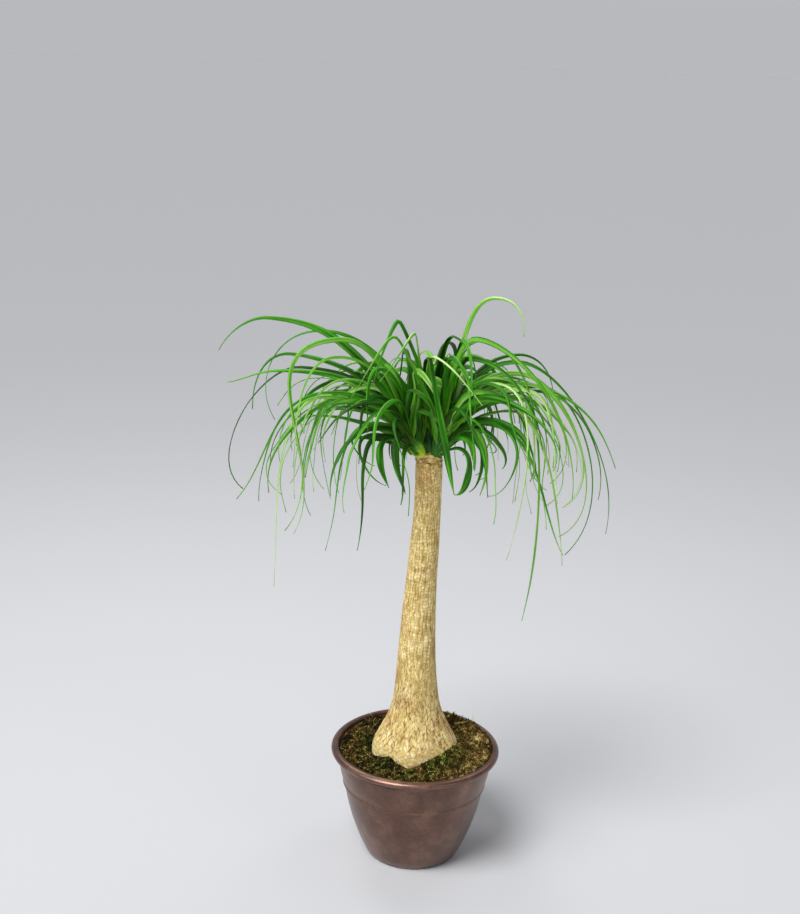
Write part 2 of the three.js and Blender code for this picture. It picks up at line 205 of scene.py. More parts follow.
@dataclass(frozen=True)
class PearlPolypropylene(Finish):
    """Injection moulded polypropylene sprayed with copper pearl: a satin metal look with fine flecks.

    Real pearl flecks are under 0.1 mm, too fine to show here, so they are drawn a pixel or two wide.
    """

    name: str = "pearl_lacquered_polypropylene"
    cloud_mm: float = 38.0
    fleck_mm: float = 2.6
    scuff_mm: float = 16.0

    def plain(self) -> dict:
        """Gives the pearl its metal and the lacquer its clear coat."""
        return {"Metallic": 0.8, "Coat Weight": 0.4, "Coat Roughness": 0.26}

    def paint(self, nodes: Nodes) -> Links:
        """Draws clouds in the sprayed coat, flecks over them and pale scuffs at the foot.

        Args:
            nodes: The material's nodes.

        Returns:
            The surface's colour, roughness and normal.
        """
        place = nodes.add("TexCoord", out="Object")
        clouds = nodes.add("TexNoise", {"Scale": per_metre(self.cloud_mm), "Detail": 6.0, "Roughness": 0.62},
                           {"Vector": place})
        tint = nodes.add("ValToRGB", {"stops": [(0.32, "#5c4237"), (0.5, "#6c4e41"), (0.7, "#856453")]},
                         {"Fac": clouds})
        flecks = nodes.add("TexNoise", {"Scale": per_metre(self.fleck_mm), "Detail": 3.0, "Roughness": 0.7},
                           {"Vector": place})
        flecked = nodes.add("Mix", {"data_type": "RGBA", "blend_type": "SOFT_LIGHT", 0: 0.75},
                            {6: tint, 7: flecks.node.outputs["Color"]}, 2)
        height = nodes.add("SeparateXYZ", links={0: place}, out="Z")
        low = nodes.add("MapRange", {"From Min": self.scuff_mm * MM, "From Max": 0.0, "To Max": 0.9},
                        {"Value": height})
        dusty = nodes.add("Math", {"operation": "MULTIPLY"}, {0: low, 1: flecks})
        worn = nodes.add("Mix", {"data_type": "RGBA", 7: linear("#9b8a80")}, {0: dusty, 6: flecked}, 2)
        rough = nodes.add("MapRange", {"From Min": 0.3, "From Max": 0.7, "To Min": 0.34, "To Max": 0.42},
                          {"Value": clouds})
        bump = nodes.add("Bump", {"Strength": 0.15, "Distance": 0.3 * MM}, {"Height": flecks})
        return {"Base Color": worn, "Roughness": rough, "Normal": bump}


@dataclass(frozen=True)
class PeatMix(Finish):
    """Moist peat and bark crumb: dark brown, matt and granular."""

    name: str = "peat_potting_mix"
    crumb_mm: float = 4.0

    def plain(self) -> dict:
        """Keeps the mix matt."""
        return {"Roughness": 0.95, "Specular IOR Level": 0.2}

    def paint(self, nodes: Nodes) -> Links:
        """Draws the crumbs, lighter and higher in their middles.

        Args:
            nodes: The material's nodes.

        Returns:
            The surface's colour and normal.
        """
        place = nodes.add("TexCoord", out="Object")
        crumbs = nodes.add("TexVoronoi", {"Scale": per_metre(self.crumb_mm)}, {"Vector": place})
        tint = nodes.add("ValToRGB", {"stops": [(0.0, "#5a4330"), (0.5, "#38271a"), (1.0, "#1d140d")]},
                         {"Fac": crumbs})
        bump = nodes.add("Bump", {"Strength": 0.8, "Distance": 1.0 * MM, "invert": True}, {"Height": crumbs})
        return {"Base Color": tint, "Normal": bump}


@dataclass(frozen=True)
class SheetMoss(Finish):
    """Half dried sheet moss and coconut fibre: matt tangled strands, brown among deep green and straw ones.

    Real moss leaflets are about 0.3 mm wide, too fine to show here, so their texture is drawn coarser.
    """

    name: str = "sheet_moss"
    fibre_mm: float = 2.4

    def plain(self) -> dict:
        """Keeps the moss matt."""
        return {"Roughness": 0.95, "Specular IOR Level": 0.1}

    def paint(self, nodes: Nodes) -> Links:
        """Tints the moss strand by strand from its tone and green attributes.

        Args:
            nodes: The material's nodes.

        Returns:
            The surface's colour and normal.
        """
        place = nodes.add("TexCoord", out="Object")
        tone, green = (nodes.add("Attribute", {"attribute_name": name}, out="Fac") for name in MOSS_MARKS)
        fibres = nodes.add("TexNoise", {"Scale": per_metre(self.fibre_mm), "Detail": 6.0, "Roughness": 0.75},
                           {"Vector": place})
        spread = nodes.add("MapRange", {"From Min": 0.3, "From Max": 0.7, "To Min": -0.26, "To Max": 0.32},
                           {"Value": fibres})
        level = nodes.add("Math", {"operation": "ADD"}, {0: spread, 1: tone})
        brown, leafy = (
            nodes.add("ValToRGB", {"stops": list(zip((0.0, 0.25, 0.5, 0.75, 1.0), colours))}, {"Fac": level})
            for colours in (("#100a02", "#3d2e10", "#6c5527", "#a38c54", "#dccb94"),
                            ("#070b01", "#1f2b07", "#435216", "#7f8a2f", "#bcc25e")))
        mixed = nodes.add("Mix", {"data_type": "RGBA"}, {0: green, 6: brown, 7: leafy}, 2)
        bump = nodes.add("Bump", {"Strength": 0.9, "Distance": 1.2 * MM}, {"Height": fibres})
        return {"Base Color": mixed, "Normal": bump}


@dataclass(frozen=True)
class CorkBark(Finish):
    """Living corky bark: straw yellow plates over brown cracks, with greyer weathered patches and fine grit.

    Cork grit of 0.2 mm and hairline cracks are too fine to show here, so both are drawn about a pixel wide.
    """

    name: str = "corky_bark"
    patch_mm: float = 42.0
    grit_mm: float = 1.5
    girth_mm: float = 45.0
    streak_mm: float = 4.6
    streak_length_mm: float = 18.0
    sway_mm: float = 10.0
    net_sway_mm: float = 4.0
    split_sway_mm: float = 5.0
    plate_mm: float = 9.0
    split_mm: float = 4.8
    split_length_mm: float = 17.0
    net_end_mm: tuple[float, float] = (194.0, 208.0)
    fade_mm: tuple[float, float] = (290.0, 400.0)

    def plain(self) -> dict:
        """Keeps the bark nearly matt."""
        return {"Roughness": 0.78, "Specular IOR Level": 0.35}

    def paint(self, nodes: Nodes) -> Links:
        """Colours the bark by each spot's height and its plate's lightness, then weathers and cracks it.

        Args:
            nodes: The material's nodes.

        Returns:
            The surface's colour and normal.
        """
        place = nodes.add("TexCoord", out="Object")
        relief, plate = (nodes.add("Attribute", {"attribute_name": name}, out="Fac") for name in BARK_MARKS)
        grit = nodes.add("TexNoise", {"Scale": per_metre(self.grit_mm), "Detail": 4.0, "Roughness": 0.7},
                         {"Vector": place})
        girth = self.girth(nodes, place)
        across, tall = per_metre(self.streak_mm), per_metre(self.streak_length_mm)
        stretch = nodes.add("Mapping", {"Scale": (across, across, tall)}, {"Vector": girth})
        streaks = nodes.add("TexNoise", {"Scale": 1.0, "Detail": 3.0, "Roughness": 0.6}, {"Vector": stretch})
        fine = nodes.add("Math", {"operation": "ADD"}, {0: grit, 1: streaks})
        spread = nodes.add("MapRange", {"From Min": 0.65, "From Max": 1.35, "To Min": -0.17, "To Max": 0.17},
                           {"Value": fine})
        level = nodes.add("Math", {"operation": "ADD"}, {0: spread, 1: relief})
        tint = nodes.add("ValToRGB", {"stops": [(0.05, "#4e3814"), (0.3, "#90743a"), (0.55, "#c2a660"),
                                                (0.8, "#dec684"), (1.0, "#f2e2b2")]}, {"Fac": level})
        shade = nodes.add("MapRange", {"To Min": 0.82, "To Max": 1.12}, {"Value": plate})
        varied = nodes.add("VectorMath", {"operation": "SCALE"}, {0: tint, "Scale": shade})
        patches = nodes.add("TexNoise", {"Scale": per_metre(self.patch_mm), "Detail": 4.0, "Roughness": 0.6},
                            {"Vector": place})
        where = nodes.add("MapRange", {"From Min": 0.5, "From Max": 0.66, "To Max": 0.8}, {"Value": patches})
        weathered = nodes.add("Mix", {"data_type": "RGBA", "blend_type": "MULTIPLY", 7: linear("#d6c0ac")},
                              {0: where, 6: varied}, 2)
        split = nodes.add("Mix", {"data_type": "RGBA", "blend_type": "MULTIPLY", 7: linear("#846434")},
                          {0: self.cracks(nodes, place, girth), 6: weathered}, 2)
        bump = nodes.add("Bump", {"Strength": 0.6, "Distance": 0.7 * MM}, {"Height": fine})
        return {"Base Color": split, "Normal": bump}

    def girth(self, nodes: Nodes, place: Socket) -> Socket:
        """Draws every spot out to one girth, so that an upright pattern also runs up the swollen base.

        Args:
            nodes: The bark's nodes.
            place: Its object coordinates.

        Returns:
            The spot at that girth and at its own height.
        """
        flat = nodes.add("VectorMath", {"operation": "MULTIPLY", 1: (1, 1, 0)}, {0: place})
        unit = nodes.add("VectorMath", {"operation": "NORMALIZE"}, {0: flat})
        rise = nodes.add("VectorMath", {"operation": "MULTIPLY", 1: (0, 0, 1)}, {0: place})
        reach = self.girth_mm * MM
        return nodes.add("VectorMath", {"operation": "MULTIPLY_ADD", 1: (reach, reach, 0)},
                         {0: unit, 2: rise})

    def cracks(self, nodes: Nodes, place: Socket, girth: Socket) -> Socket:
        """Draws hairline cracks: a net round small plates low on the base, and upright splits above it.

        Args:
            nodes: The bark's nodes.
            place: Its object coordinates.
            girth: The spots at one girth, for the upright splits.

        Returns:
            How deep each spot lies in a crack, from 0.
        """
        sway = nodes.add("TexNoise", {"Scale": per_metre(self.sway_mm), "Detail": 2.0}, {"Vector": place},
                         "Color")
        swayed, bent = (
            nodes.add("VectorMath", {"operation": "MULTIPLY_ADD", 1: (by * MM, by * MM, by * MM)},
                      {0: sway, 2: spots})
            for by, spots in ((self.net_sway_mm, place), (self.split_sway_mm, girth)))
        plate, across = per_metre(self.plate_mm), per_metre(self.split_mm)
        small = nodes.add("Mapping", {"Scale": (plate, plate, plate * 0.9)}, {"Vector": swayed})
        net = nodes.add("TexVoronoi", {"feature": "DISTANCE_TO_EDGE", "Scale": 1.0}, {"Vector": small})
        netted = nodes.add("MapRange", {"From Min": 0.01, "From Max": 0.07, "To Min": 0.75, "To Max": 0.0},
                           {"Value": net})
        upright = nodes.add("Mapping", {"Scale": (across, across, per_metre(self.split_length_mm))},
                            {"Vector": bent})
        grain = nodes.add("TexNoise", {"Scale": 1.0, "Detail": 1.0}, {"Vector": upright})
        middle = nodes.add("Math", {"operation": "SUBTRACT", 1: 0.5}, {0: grain})
        near = nodes.add("Math", {"operation": "ABSOLUTE"}, {0: middle})
        splits = nodes.add("MapRange", {"From Min": 0.01, "From Max": 0.045, "To Min": 1.0, "To Max": 0.0},
                           {"Value": near})
        height = nodes.add("SeparateXYZ", links={0: place}, out="Z")
        raised, fading = (
            nodes.add("MapRange", {"From Min": low * MM, "From Max": high * MM, "To Min": first,
                                   "To Max": last}, {"Value": height})
            for (low, high), first, last in ((self.net_end_mm, 0.0, 1.0), (self.fade_mm, 0.74, 0.45)))
        either = nodes.add("Mix", {"data_type": "FLOAT"}, {0: raised, 2: netted, 3: splits})
        return nodes.add("Math", {"operation": "MULTIPLY"}, {0: either, 1: fading})


@dataclass(frozen=True)
class LeafBlade(Finish):
    """A living fibrous strap: satin green, paler below, yellow-green at its root, straw at its dried tip.

    Real veins are about 0.5 mm apart, too fine to show here, so each half of the blade has about five.
    """

    name: str = "palm_leaf_upper"
    stops: tuple[tuple[float, str], ...] = (
        (0.0, "#021e00"), (0.2, "#0e5200"), (0.42, "#369600"), (0.7, "#70b422"), (1.0, "#bada84"))
    roughness: float = 0.3
    patch_mm: float = 30.0
    veins: float = 34.0

    def plain(self) -> dict:
        """Gives the wax on the leaf its green gloss."""
        return {"Specular IOR Level": 0.36, "Specular Tint": linear("#b6e896")}

    def paint(self, nodes: Nodes) -> Links:
        """Draws one side of the leaf from the leaf's own attributes: tone, along, across and dry.

        Args:
            nodes: The material's nodes.

        Returns:
            The surface's colour, roughness and normal.
        """
        place = nodes.add("TexCoord", out="Object")
        tone, along, across, dry = (
            nodes.add("Attribute", {"attribute_name": name}, out="Fac") for name in LEAF_MARKS)
        patches = nodes.add("TexNoise", {"Scale": per_metre(self.patch_mm), "Detail": 2.0}, {"Vector": place})
        shade = nodes.add("Math", {"operation": "MULTIPLY_ADD", 1: 0.24}, {0: patches, 2: tone})
        level = nodes.add("Math", {"operation": "SUBTRACT", 1: 0.12}, {0: shade})
        tint = nodes.add("ValToRGB", {"stops": self.stops}, {"Fac": level})
        rootward = nodes.add("MapRange", {"From Min": 0.22, "From Max": 0.0, "To Max": 0.5}, {"Value": along})
        rooted = nodes.add("Mix", {"data_type": "RGBA", 7: linear("#6fa32a")}, {0: rootward, 6: tint}, 2)
        phase = nodes.add("Math", {"operation": "MULTIPLY", 1: self.veins}, {0: across})
        ribs = nodes.add("Math", {"operation": "SINE"}, {0: phase})
        faint = nodes.add("Math", {"operation": "MULTIPLY_ADD", 1: 0.03, 2: 0.03}, {0: ribs})
        veined = nodes.add("Mix", {"data_type": "RGBA", 7: linear("#a4d860")}, {0: faint, 6: rooted}, 2)
        dried = nodes.add("Mix", {"data_type": "RGBA", 7: linear("#a88b4c")}, {0: dry, 6: veined}, 2)
        rough = nodes.add("MapRange", {"From Min": 0.3, "From Max": 0.7, "To Min": self.roughness - 0.05,
                                       "To Max": self.roughness + 0.1}, {"Value": patches})
        bump = nodes.add("Bump", {"Strength": 0.2, "Distance": 0.15 * MM}, {"Height": ribs})
        return {"Base Color": dried, "Roughness": rough, "Normal": bump}


@dataclass(frozen=True)
class SheathBase(Finish):
    """The clasped leaf bases of a head: fleshy, yellow-green, darker green higher up, satin."""

    name: str = "leaf_sheaths"
    stripe_mm: float = 3.0

    def plain(self) -> dict:
        """Gives the sheaths a dull gloss."""
        return {"Roughness": 0.5}

    def paint(self, nodes: Nodes) -> Links:
        """Colours the sheaths from their foot up by the along attribute.

        Args:
            nodes: The material's nodes.

        Returns:
            The surface's colour and normal.
        """
        place = nodes.add("TexCoord", out="Object")
        along = nodes.add("Attribute", {"attribute_name": "along"}, out="Fac")
        streaks = nodes.add("TexNoise", {"Scale": per_metre(self.stripe_mm), "Detail": 3.0},
                            {"Vector": place})
        level = nodes.add("Math", {"operation": "MULTIPLY_ADD", 1: 0.35}, {0: streaks, 2: along})
        tint = nodes.add("ValToRGB", {"stops": [(0.1, "#b88a26"), (0.2, "#e8dc28"), (0.36, "#a4d020"),
                                                (0.62, "#2f7a0c"), (1.0, "#124a06")]}, {"Fac": level})
        bump = nodes.add("Bump", {"Strength": 0.4, "Distance": 0.5 * MM}, {"Height": streaks})
        return {"Base Color": tint, "Normal": bump}


@dataclass(frozen=True)
class StudioPaper(Finish):
    """Seamless pale grey background paper: matt and even."""

    name: str = "seamless_paper"
    colour: str = "#bfc0c3"

    def plain(self) -> dict:
        """Gives the paper its one colour."""
        return {"Base Color": linear(self.colour), "Roughness": 0.9, "Specular IOR Level": 0.1}


def as_object(builder: bmesh.types.BMesh, name: str, *materials: bpy.types.Material) -> bpy.types.Object:
    """Turns a finished bmesh into an object in the scene.

    Args:
        builder: The bmesh, in metres, which is freed.
        name: The object's name.
        materials: Its materials, by material index.

    Returns:
        The new object.
    """
    mesh = bpy.data.meshes.new(name)
    builder.to_mesh(mesh)
    builder.free()
    for material in materials:
        mesh.materials.append(material)
    made = bpy.data.objects.new(name, mesh)
    bpy.context.scene.collection.objects.link(made)
    return made


def finish_piece(builder: bmesh.types.BMesh, name: str, node: str,
                 *materials: bpy.types.Material) -> bpy.types.Object:
    """Turns a finished bmesh into a smooth-shaded piece that rides on the part's body.

    Args:
        builder: The bmesh, in metres, which is freed.
        name: The piece's name.
        node: The CAD node that it replaces, which is hidden.
        materials: Its materials, by material index.

    Returns:
        The new piece.
    """
    piece = as_object(builder, name, *materials)
    faces = piece.data.polygons
    faces.foreach_set("use_smooth", [True] * len(faces))
    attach(piece, "root")
    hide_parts(node)
    log.info("%s: %d faces", name, len(faces))
    return piece


def add_marks(builder: bmesh.types.BMesh, names: tuple[str, ...]) -> list[bmesh.types.BMLayerItem]:
    """Gives the vertices a number layer for each name."""
    return [builder.verts.layers.float.new(name) for name in names]


def spin_profile(profile: list[tuple[float, float]], sides: int) -> bmesh.types.BMesh:
    """Spins a profile of (radius, height) in millimetres about the Z axis.

    Args:
        profile: The points; ends with a radius of nought close on the axis.
        sides: How many steps the full turn has.

    Returns:
        The spun bmesh, in metres, with outward faces.
    """
    builder = bmesh.new()
    points = [builder.verts.new((radius * MM, 0.0, height * MM)) for radius, height in profile]
    edges = [builder.edges.new(pair) for pair in zip(points, points[1:])]
    bmesh.ops.spin(builder, geom=points + edges, cent=(0, 0, 0), axis=(0, 0, 1), angle=math.tau, steps=sides,
                   use_merge=True)
    bmesh.ops.remove_doubles(builder, verts=builder.verts, dist=0.004 * MM)
    bmesh.ops.recalc_face_normals(builder, faces=builder.faces)
    return builder


@dataclass
class Pot:
    """The round pot: a tapering wall, a stepped collar, a rolled lip and a ring of six feet. Millimetres."""

    height: float = 192.0
    rim_radius: float = 140.0
    foot_radius: float = 76.0
    wall: float = 3.0
    sides: int = 144
    recess: float = 4.0
    foot_count: int = 6
    foot_gap: float = 27.0
    ring_inner: float = 56.0
    boss_radius: float = 28.0
    drain_radius: float = 5.0
    drain_count: int = 6
    sharp_from: float = 50.0
    lip_outer: float = 9.0
    lip_inner: float = 3.5
    lip_rise: float = 6.8
    lip_steps: int = 14
    outer_wall: Stations = (
        (0, 76), (8, 80.6), (22, 87.3), (40, 94.6), (60, 101.8), (80, 107.6), (100, 112.5), (122, 116.5))
    collar: Stations = (
        (123.6, 116.6), (124.2, 118.2), (125.2, 119.4), (126.8, 119.7), (128.2, 118.9), (129.2, 118.7),
        (140, 122), (161, 126.6), (173, 128))
    collar_step: int = 6
    under_lip: Stations = (
        (173.6, 129.2), (174.8, 130.2), (176.2, 129.9), (177.2, 129.2), (180.4, 129.4))
    lip_underside: Stations = ((-5.0, -4.7), (-2.8, -4.2), (-1.1, -3.0), (-0.3, -1.5))

    def wall_radius(self, height: float) -> float:
        """Reads the outer wall's radius at a height."""
        stations = self.outer_wall if height < self.collar[0][0] else self.collar
        return through_stations(stations, height)

    def lip_top(self, reach: float) -> float:
        """Reads the height of the rolled lip's upper side at a distance from the axis, or 0 beside it.

        Args:
            reach: The distance from the axis, in millimetres.

        Returns:
            The height above the floor, in millimetres, or 0.
        """
        past = reach - (self.rim_radius - self.lip_outer)
        share = past / self.lip_outer if past > 0 else -past / self.lip_inner
        return self.height - self.lip_rise + self.lip_rise * math.sqrt(1 - share ** 2) if share < 1 else 0.0

    def profile(self) -> list[tuple[float, float]]:
        """Gives the section, from the underside's centre out, over the lip and back to the floor's centre.

        Returns:
            Distances from the axis and heights, in millimetres.
        """
        edge_round, top_wall = 0.8, (183, 161, 126, 100, 60, 22)
        bottom = [(0, 0), (self.boss_radius, 0), (self.boss_radius + self.recess, self.recess),
                  (self.ring_inner - self.recess, self.recess), (self.ring_inner, 0.6),
                  (self.ring_inner + edge_round, 0), (self.foot_radius - edge_round, 0),
                  (self.foot_radius - 0.2, 0.4)]
        below = [1.6, 3.2, 5, 8, *range(12, 124, 5)]
        outside = [(self.wall_radius(z), z) for z in below]
        outside += [(r, z) for z, r in self.collar[:self.collar_step]]
        outside += [(self.wall_radius(z), z) for z in range(133, 174, 5)]
        outside += [(r, z) for z, r in self.under_lip]
        centre = self.rim_radius - self.lip_outer
        crown = self.height - self.lip_rise
        lip = [(self.rim_radius + out, crown + up) for out, up in self.lip_underside]
        for i in range(self.lip_steps + 1):
            angle = math.pi * i / self.lip_steps
            half = self.lip_outer if 2 * i < self.lip_steps else self.lip_inner
            lip.append((centre + half * math.cos(angle), crown + self.lip_rise * math.sin(angle)))
        floor = self.recess + self.wall
        inside = [(self.wall_radius(z) - self.wall, z) for z in top_wall]
        inside += [(self.wall_radius(floor) - self.wall - 2, floor), (0, floor)]
        return bottom + outside + lip + inside

    def cut_feet(self, builder: bmesh.types.BMesh) -> None:
        """Lifts the foot ring between the feet, so that it stands on six of them.

        Args:
            builder: The spun pot.
        """
        half_gap = self.foot_gap / 2 / self.foot_radius
        notch = self.recess - 1
        for vertex in builder.verts:
            radius = math.hypot(vertex.co.x, vertex.co.y) / MM
            height = vertex.co.z / MM
            if height > notch + 0.5 or radius < self.ring_inner - 1:
                continue
            turn = (math.atan2(vertex.co.y, vertex.co.x) + math.pi / 2) % (math.tau / self.foot_count)
            if abs(turn - math.pi / self.foot_count) < half_gap:
                vertex.co.z = (notch + 0.2 * height) * MM

    def drill_drains(self, piece: bpy.types.Object) -> None:
        """Cuts the ring of drain holes through the floor.

        Args:
            piece: The pot.
        """
        builder = bmesh.new()
        ring = (self.boss_radius + self.ring_inner) / 2 * MM
        for i in range(self.drain_count):
            turn = Matrix.Rotation(math.tau * i / self.drain_count, 4, "Z")
            place = turn @ Matrix.Translation((ring, 0, 0))
            bmesh.ops.create_cone(builder, cap_ends=True, segments=24, radius1=self.drain_radius * MM,
                                  radius2=self.drain_radius * MM, depth=40 * MM, matrix=place)
        cutter = as_object(builder, "drain_cutter")
        cut = piece.modifiers.new("drains", "BOOLEAN")
        cut.operation = "DIFFERENCE"
        cut.solver = "EXACT"
        cut.object = cutter
        drilled = bpy.data.meshes.new_from_object(piece.evaluated_get(bpy.context.evaluated_depsgraph_get()))
        piece.modifiers.clear()
        piece.data = drilled
        bpy.data.objects.remove(cutter)

    def build(self) -> bpy.types.Object:
        """Builds and dresses the pot.

        Returns:
            The piece.
        """
        builder = spin_profile(self.profile(), self.sides)
        self.cut_feet(builder)
        sharp = math.radians(self.sharp_from)
        for edge in builder.edges:
            if edge.is_manifold and edge.calc_face_angle(0.0) > sharp:
                edge.smooth = False
        piece = finish_piece(builder, "lacquered_pot", "pot", PearlPolypropylene().build())
        self.drill_drains(piece)
        return piece


@dataclass
class Trunk:
    """The trunk: a swollen, lobed base, then a bowed stem of corky bark, cut at its top. Millimetres."""

    stations: Stations = (
        (108, 12), (116, 32), (128, 46), (148, 61), (170, 69), (190, 70), (203, 67.5), (216, 61.5),
        (226, 56.5), (238, 50.3), (252, 44.3), (268, 39.5), (290, 36), (318, 33.4), (352, 31.1), (390, 29.1),
        (430, 27.5), (466, 25.6), (505, 24.4), (548, 23.4), (580, 22), (610, 21.4), (660, 21.3), (678, 21.6))
    cut_top: Stations = (
        (680, 21.3), (682, 20.6), (683.6, 19.6), (684.8, 18.4), (685.8, 16.8), (686.6, 15), (687.2, 13),
        (687.4, 11), (687.2, 9), (686.9, 7), (686.6, 5), (686.4, 3), (686.2, 1.5), (686.1, 0.0))
    bow: Stations = (
        (200, 0), (290, -2), (352, -3.1), (430, -2.1), (505, 1), (548, 3.1), (610, 5.4), (700, 5.4))
    bottom: float = 105.0
    lobes: int = 5
    lobe_depth: float = 0.05
    lobe_end: float = 285.0
    lobe_fade: float = 90.0
    sides: int = 200
    fine_from: float = 164.0
    base_step: float = 1.0
    stem_from: float = 300.0
    stem_step: float = 1.25
    coarse_step: float = 8.0
    crack_girth: float = 60.0
    plates_end: Pair = (188.0, 214.0)
    plate_width: Pair = (10.0, 7.0)
    plate_height: Pair = (9.0, 14.0)
    crack_floor: Pair = (0.68, 0.55)
    ribs: int = 30
    rib_row: float = 5.4
    stem_bark_from: Pair = (270.0, 400.0)
    thin_bark_from: Pair = (230.0, 400.0)
    base_relief: float = 1.5
    stem_relief: float = 1.2
    callus_relief: float = 1.6
    callus_lump: float = 5.0
    grown_level: float = 0.75
    scars: tuple[float, ...] = (489.0, 554.0, 577.0, 641.0)
    scar_depth: float = 0.16
    scar_reach: float = 2.2

    def radius(self, height: float) -> float:
        """Reads the trunk's radius at a height."""
        return through_stations(self.stations, height)

    def centre(self, height: float) -> float:
        """Reads how far the trunk's middle strays to the right at a height."""
        return through_stations(self.bow, height)

    def swell(self, angle: float, height: float) -> float:
        """Gives the lobes of the base as a factor on the radius.

        Args:
            angle: Radians from +X towards +Y.
            height: Millimetres above the floor.

        Returns:
            The factor, 1 where there are no lobes.
        """
        lobed = min(1.0, max(0.0, (self.lobe_end - height) / self.lobe_fade))
        waves = 0.6 * math.cos(self.lobes * (angle + math.pi / 2)) + 0.4 * math.sin(2 * angle + 0.5)
        return 1 + self.lobe_depth * lobed * waves

    def base_bark(self, around: Vector, height: float) -> tuple[float, float]:
        """Works out the swollen base's bark: plates between cracks, drawn out upward above the widest part.

        Args:
            around: The spot drawn out to one girth, so that cracks run up the slope.
            height: Millimetres above the floor.

        Returns:
            How high the bark stands and how light its plate is, both from 0 to 1.
        """
        x, y = around.x, around.y
        wander = noise.noise_vector(Vector((x / 24, y / 24, height / 30))) * 6.0
        drawn = smooth_step(*self.plates_end, height + 8 * noise.noise(around / 15))
        wide, tall = blend(*self.plate_width, drawn), blend(*self.plate_height, drawn)
        gaps, middles = noise.voronoi(Vector(((x + wander.x) / wide, (y + wander.y) / wide,
                                              (height + wander.z) / tall)))
        plate = smooth_step(0.0, 0.26, gaps[1] - gaps[0])
        middle = middles[0]
        light = shuffle(round(middle.x * 3 + middle.y * 5 + middle.z * 7, 2), 4)
        split = smooth_step(0.0, 0.16, abs(ripple(x / 8, y / 8, height / 20)))
        crack = blend(1.0, split, 0.7 * drawn)
        streak = smooth_step(0.1, 0.45, ripple(x / 11, y / 11, height / 30)) * drawn
        low = blend(*self.crack_floor, drawn)
        level = low + plate * (0.35 + 0.65 * crack) * (0.84 - low + 0.1 * light) - 0.08 * streak
        # Painted shade: the base's plates stay darker than the stem's, from 0.12 to 0.57, because the sloping
        # base faces up and catches more light.
        return level, 0.12 + 0.45 * light

    def stem_bark(self, angle: float, height: float) -> tuple[float, float]:
        """Works out the stem's bark: fine ribs cut across by faint rings into small blocks.

        Args:
            angle: Direction round the trunk in radians.
            height: Millimetres above the floor.

        Returns:
            How high the bark stands and how light its block is, both from 0 to 1.
        """
        east, north = math.cos(angle), math.sin(angle)
        rib = (angle / math.tau * self.ribs + 1.1 * ripple(east * 1.6, north * 1.6, height / 70)
               + 0.5 * ripple(east * 4, north * 4, height / 17))
        column = math.floor(rib)
        row = (height / self.rib_row + 0.5 * shuffle(column % self.ribs, 1)
               + 0.9 * ripple(east * 2.3, north * 2.3, height / 20))
        block = math.floor(row)
        light = shuffle(column % self.ribs * 31 + block, 2)
        across, up = rib - column, row - block
        groove = smooth_step(0.0, 0.32, min(across, 1 - across))
        groove = blend(groove, 1.0, 0.35 + 0.5 * ripple(east * 5, north * 5, height / 9))
        notch = smooth_step(0.0, 0.3, min(up, 1 - up))
        notch = blend(notch, 1.0, 0.55 * shuffle(column % self.ribs * 17 + block, 3))
        return 0.34 + 0.22 * groove + (0.23 + 0.17 * light) * groove * notch, 0.14 + 0.86 * light

    def bark(self, angle: float, height: float) -> tuple[float, float]:
        """Works out the bark anywhere on the trunk.

        Args:
            angle: Direction round the trunk in radians.
            height: Millimetres above the floor.

        Returns:
            How high the bark stands and how light it is, both from 0 to 1.
        """
        around = Vector((math.cos(angle), math.sin(angle), 0)) * self.radius(height)
        stem = smooth_step(*self.stem_bark_from, height + 25 * noise.noise(around / 14))
        low, low_light = self.base_bark(around.normalized() * self.crack_girth, height)
        high, high_light = self.stem_bark(angle, height)
        level, light = blend(low, high, stem), blend(low_light, high_light, stem)
        level += 0.16 * noise.fractal(Vector((around.x / 7, around.y / 7, height / 16)), 0.7, 2.0, 4)
        for scar in self.scars:
            near = abs(height - scar - 2.0 * ripple(around.x / 20, around.y / 20, scar))
            level -= self.scar_depth * max(0.0, 1 - near / self.scar_reach)
        return min(1.0, max(0.0, level)), light

    def profile(self) -> list[tuple[float, float]]:
        """Gives the section: coarse where moss hides it, fine above that, then the rough cut top.

        Returns:
            Distances from the axis and heights, in millimetres.
        """
        points = [(0.0, self.bottom), (self.stations[0][1], self.stations[0][0])]
        height = self.stations[0][0] + self.coarse_step
        while height < self.stations[-1][0]:
            points.append((self.radius(height), height))
            if height < self.fine_from:
                height += self.coarse_step
            else:
                height += self.base_step if height < self.stem_from else self.stem_step
        return points + [(radius, height) for height, radius in self.cut_top]

    def build(self) -> bpy.types.Object:
        """Builds the trunk with its bark relief and dresses it.

        Returns:
            The piece.
        """
        builder = spin_profile(self.profile(), self.sides)
        relief, plate = add_marks(builder, BARK_MARKS)
        for vertex in builder.verts:
            height = vertex.co.z / MM
            reach = math.hypot(vertex.co.x, vertex.co.y)
            angle = math.atan2(vertex.co.y, vertex.co.x)
            level, light = self.bark(angle, height)
            if height > self.stations[-1][0]:
                lump = noise.fractal(vertex.co / (self.callus_lump * MM), 0.7, 2.0, 3)
                vertex.co.z += self.callus_relief * MM * lump
                level = min(1.0, max(0.0, 0.5 + 0.5 * lump))
            vertex[relief], vertex[plate] = level, light
            if reach > 1e-6:
                thin = smooth_step(*self.thin_bark_from, height)
                depth = blend(self.base_relief, self.stem_relief, thin) * MM
                lift = depth * (level - self.grown_level) / reach * min(1.0, reach / (10 * MM))
                grown = self.swell(angle, height) * (1 + lift)
                vertex.co.x *= grown
                vertex.co.y *= grown
            vertex.co.x += self.centre(height) * MM
        return finish_piece(builder, "barked_trunk", "trunk", CorkBark().build())


@dataclass(frozen=True)
class Heap:
    """A soft heap of moss: its middle, its height and its spread, in millimetres."""

    x: float
    y: float
    height: float
    spread: float


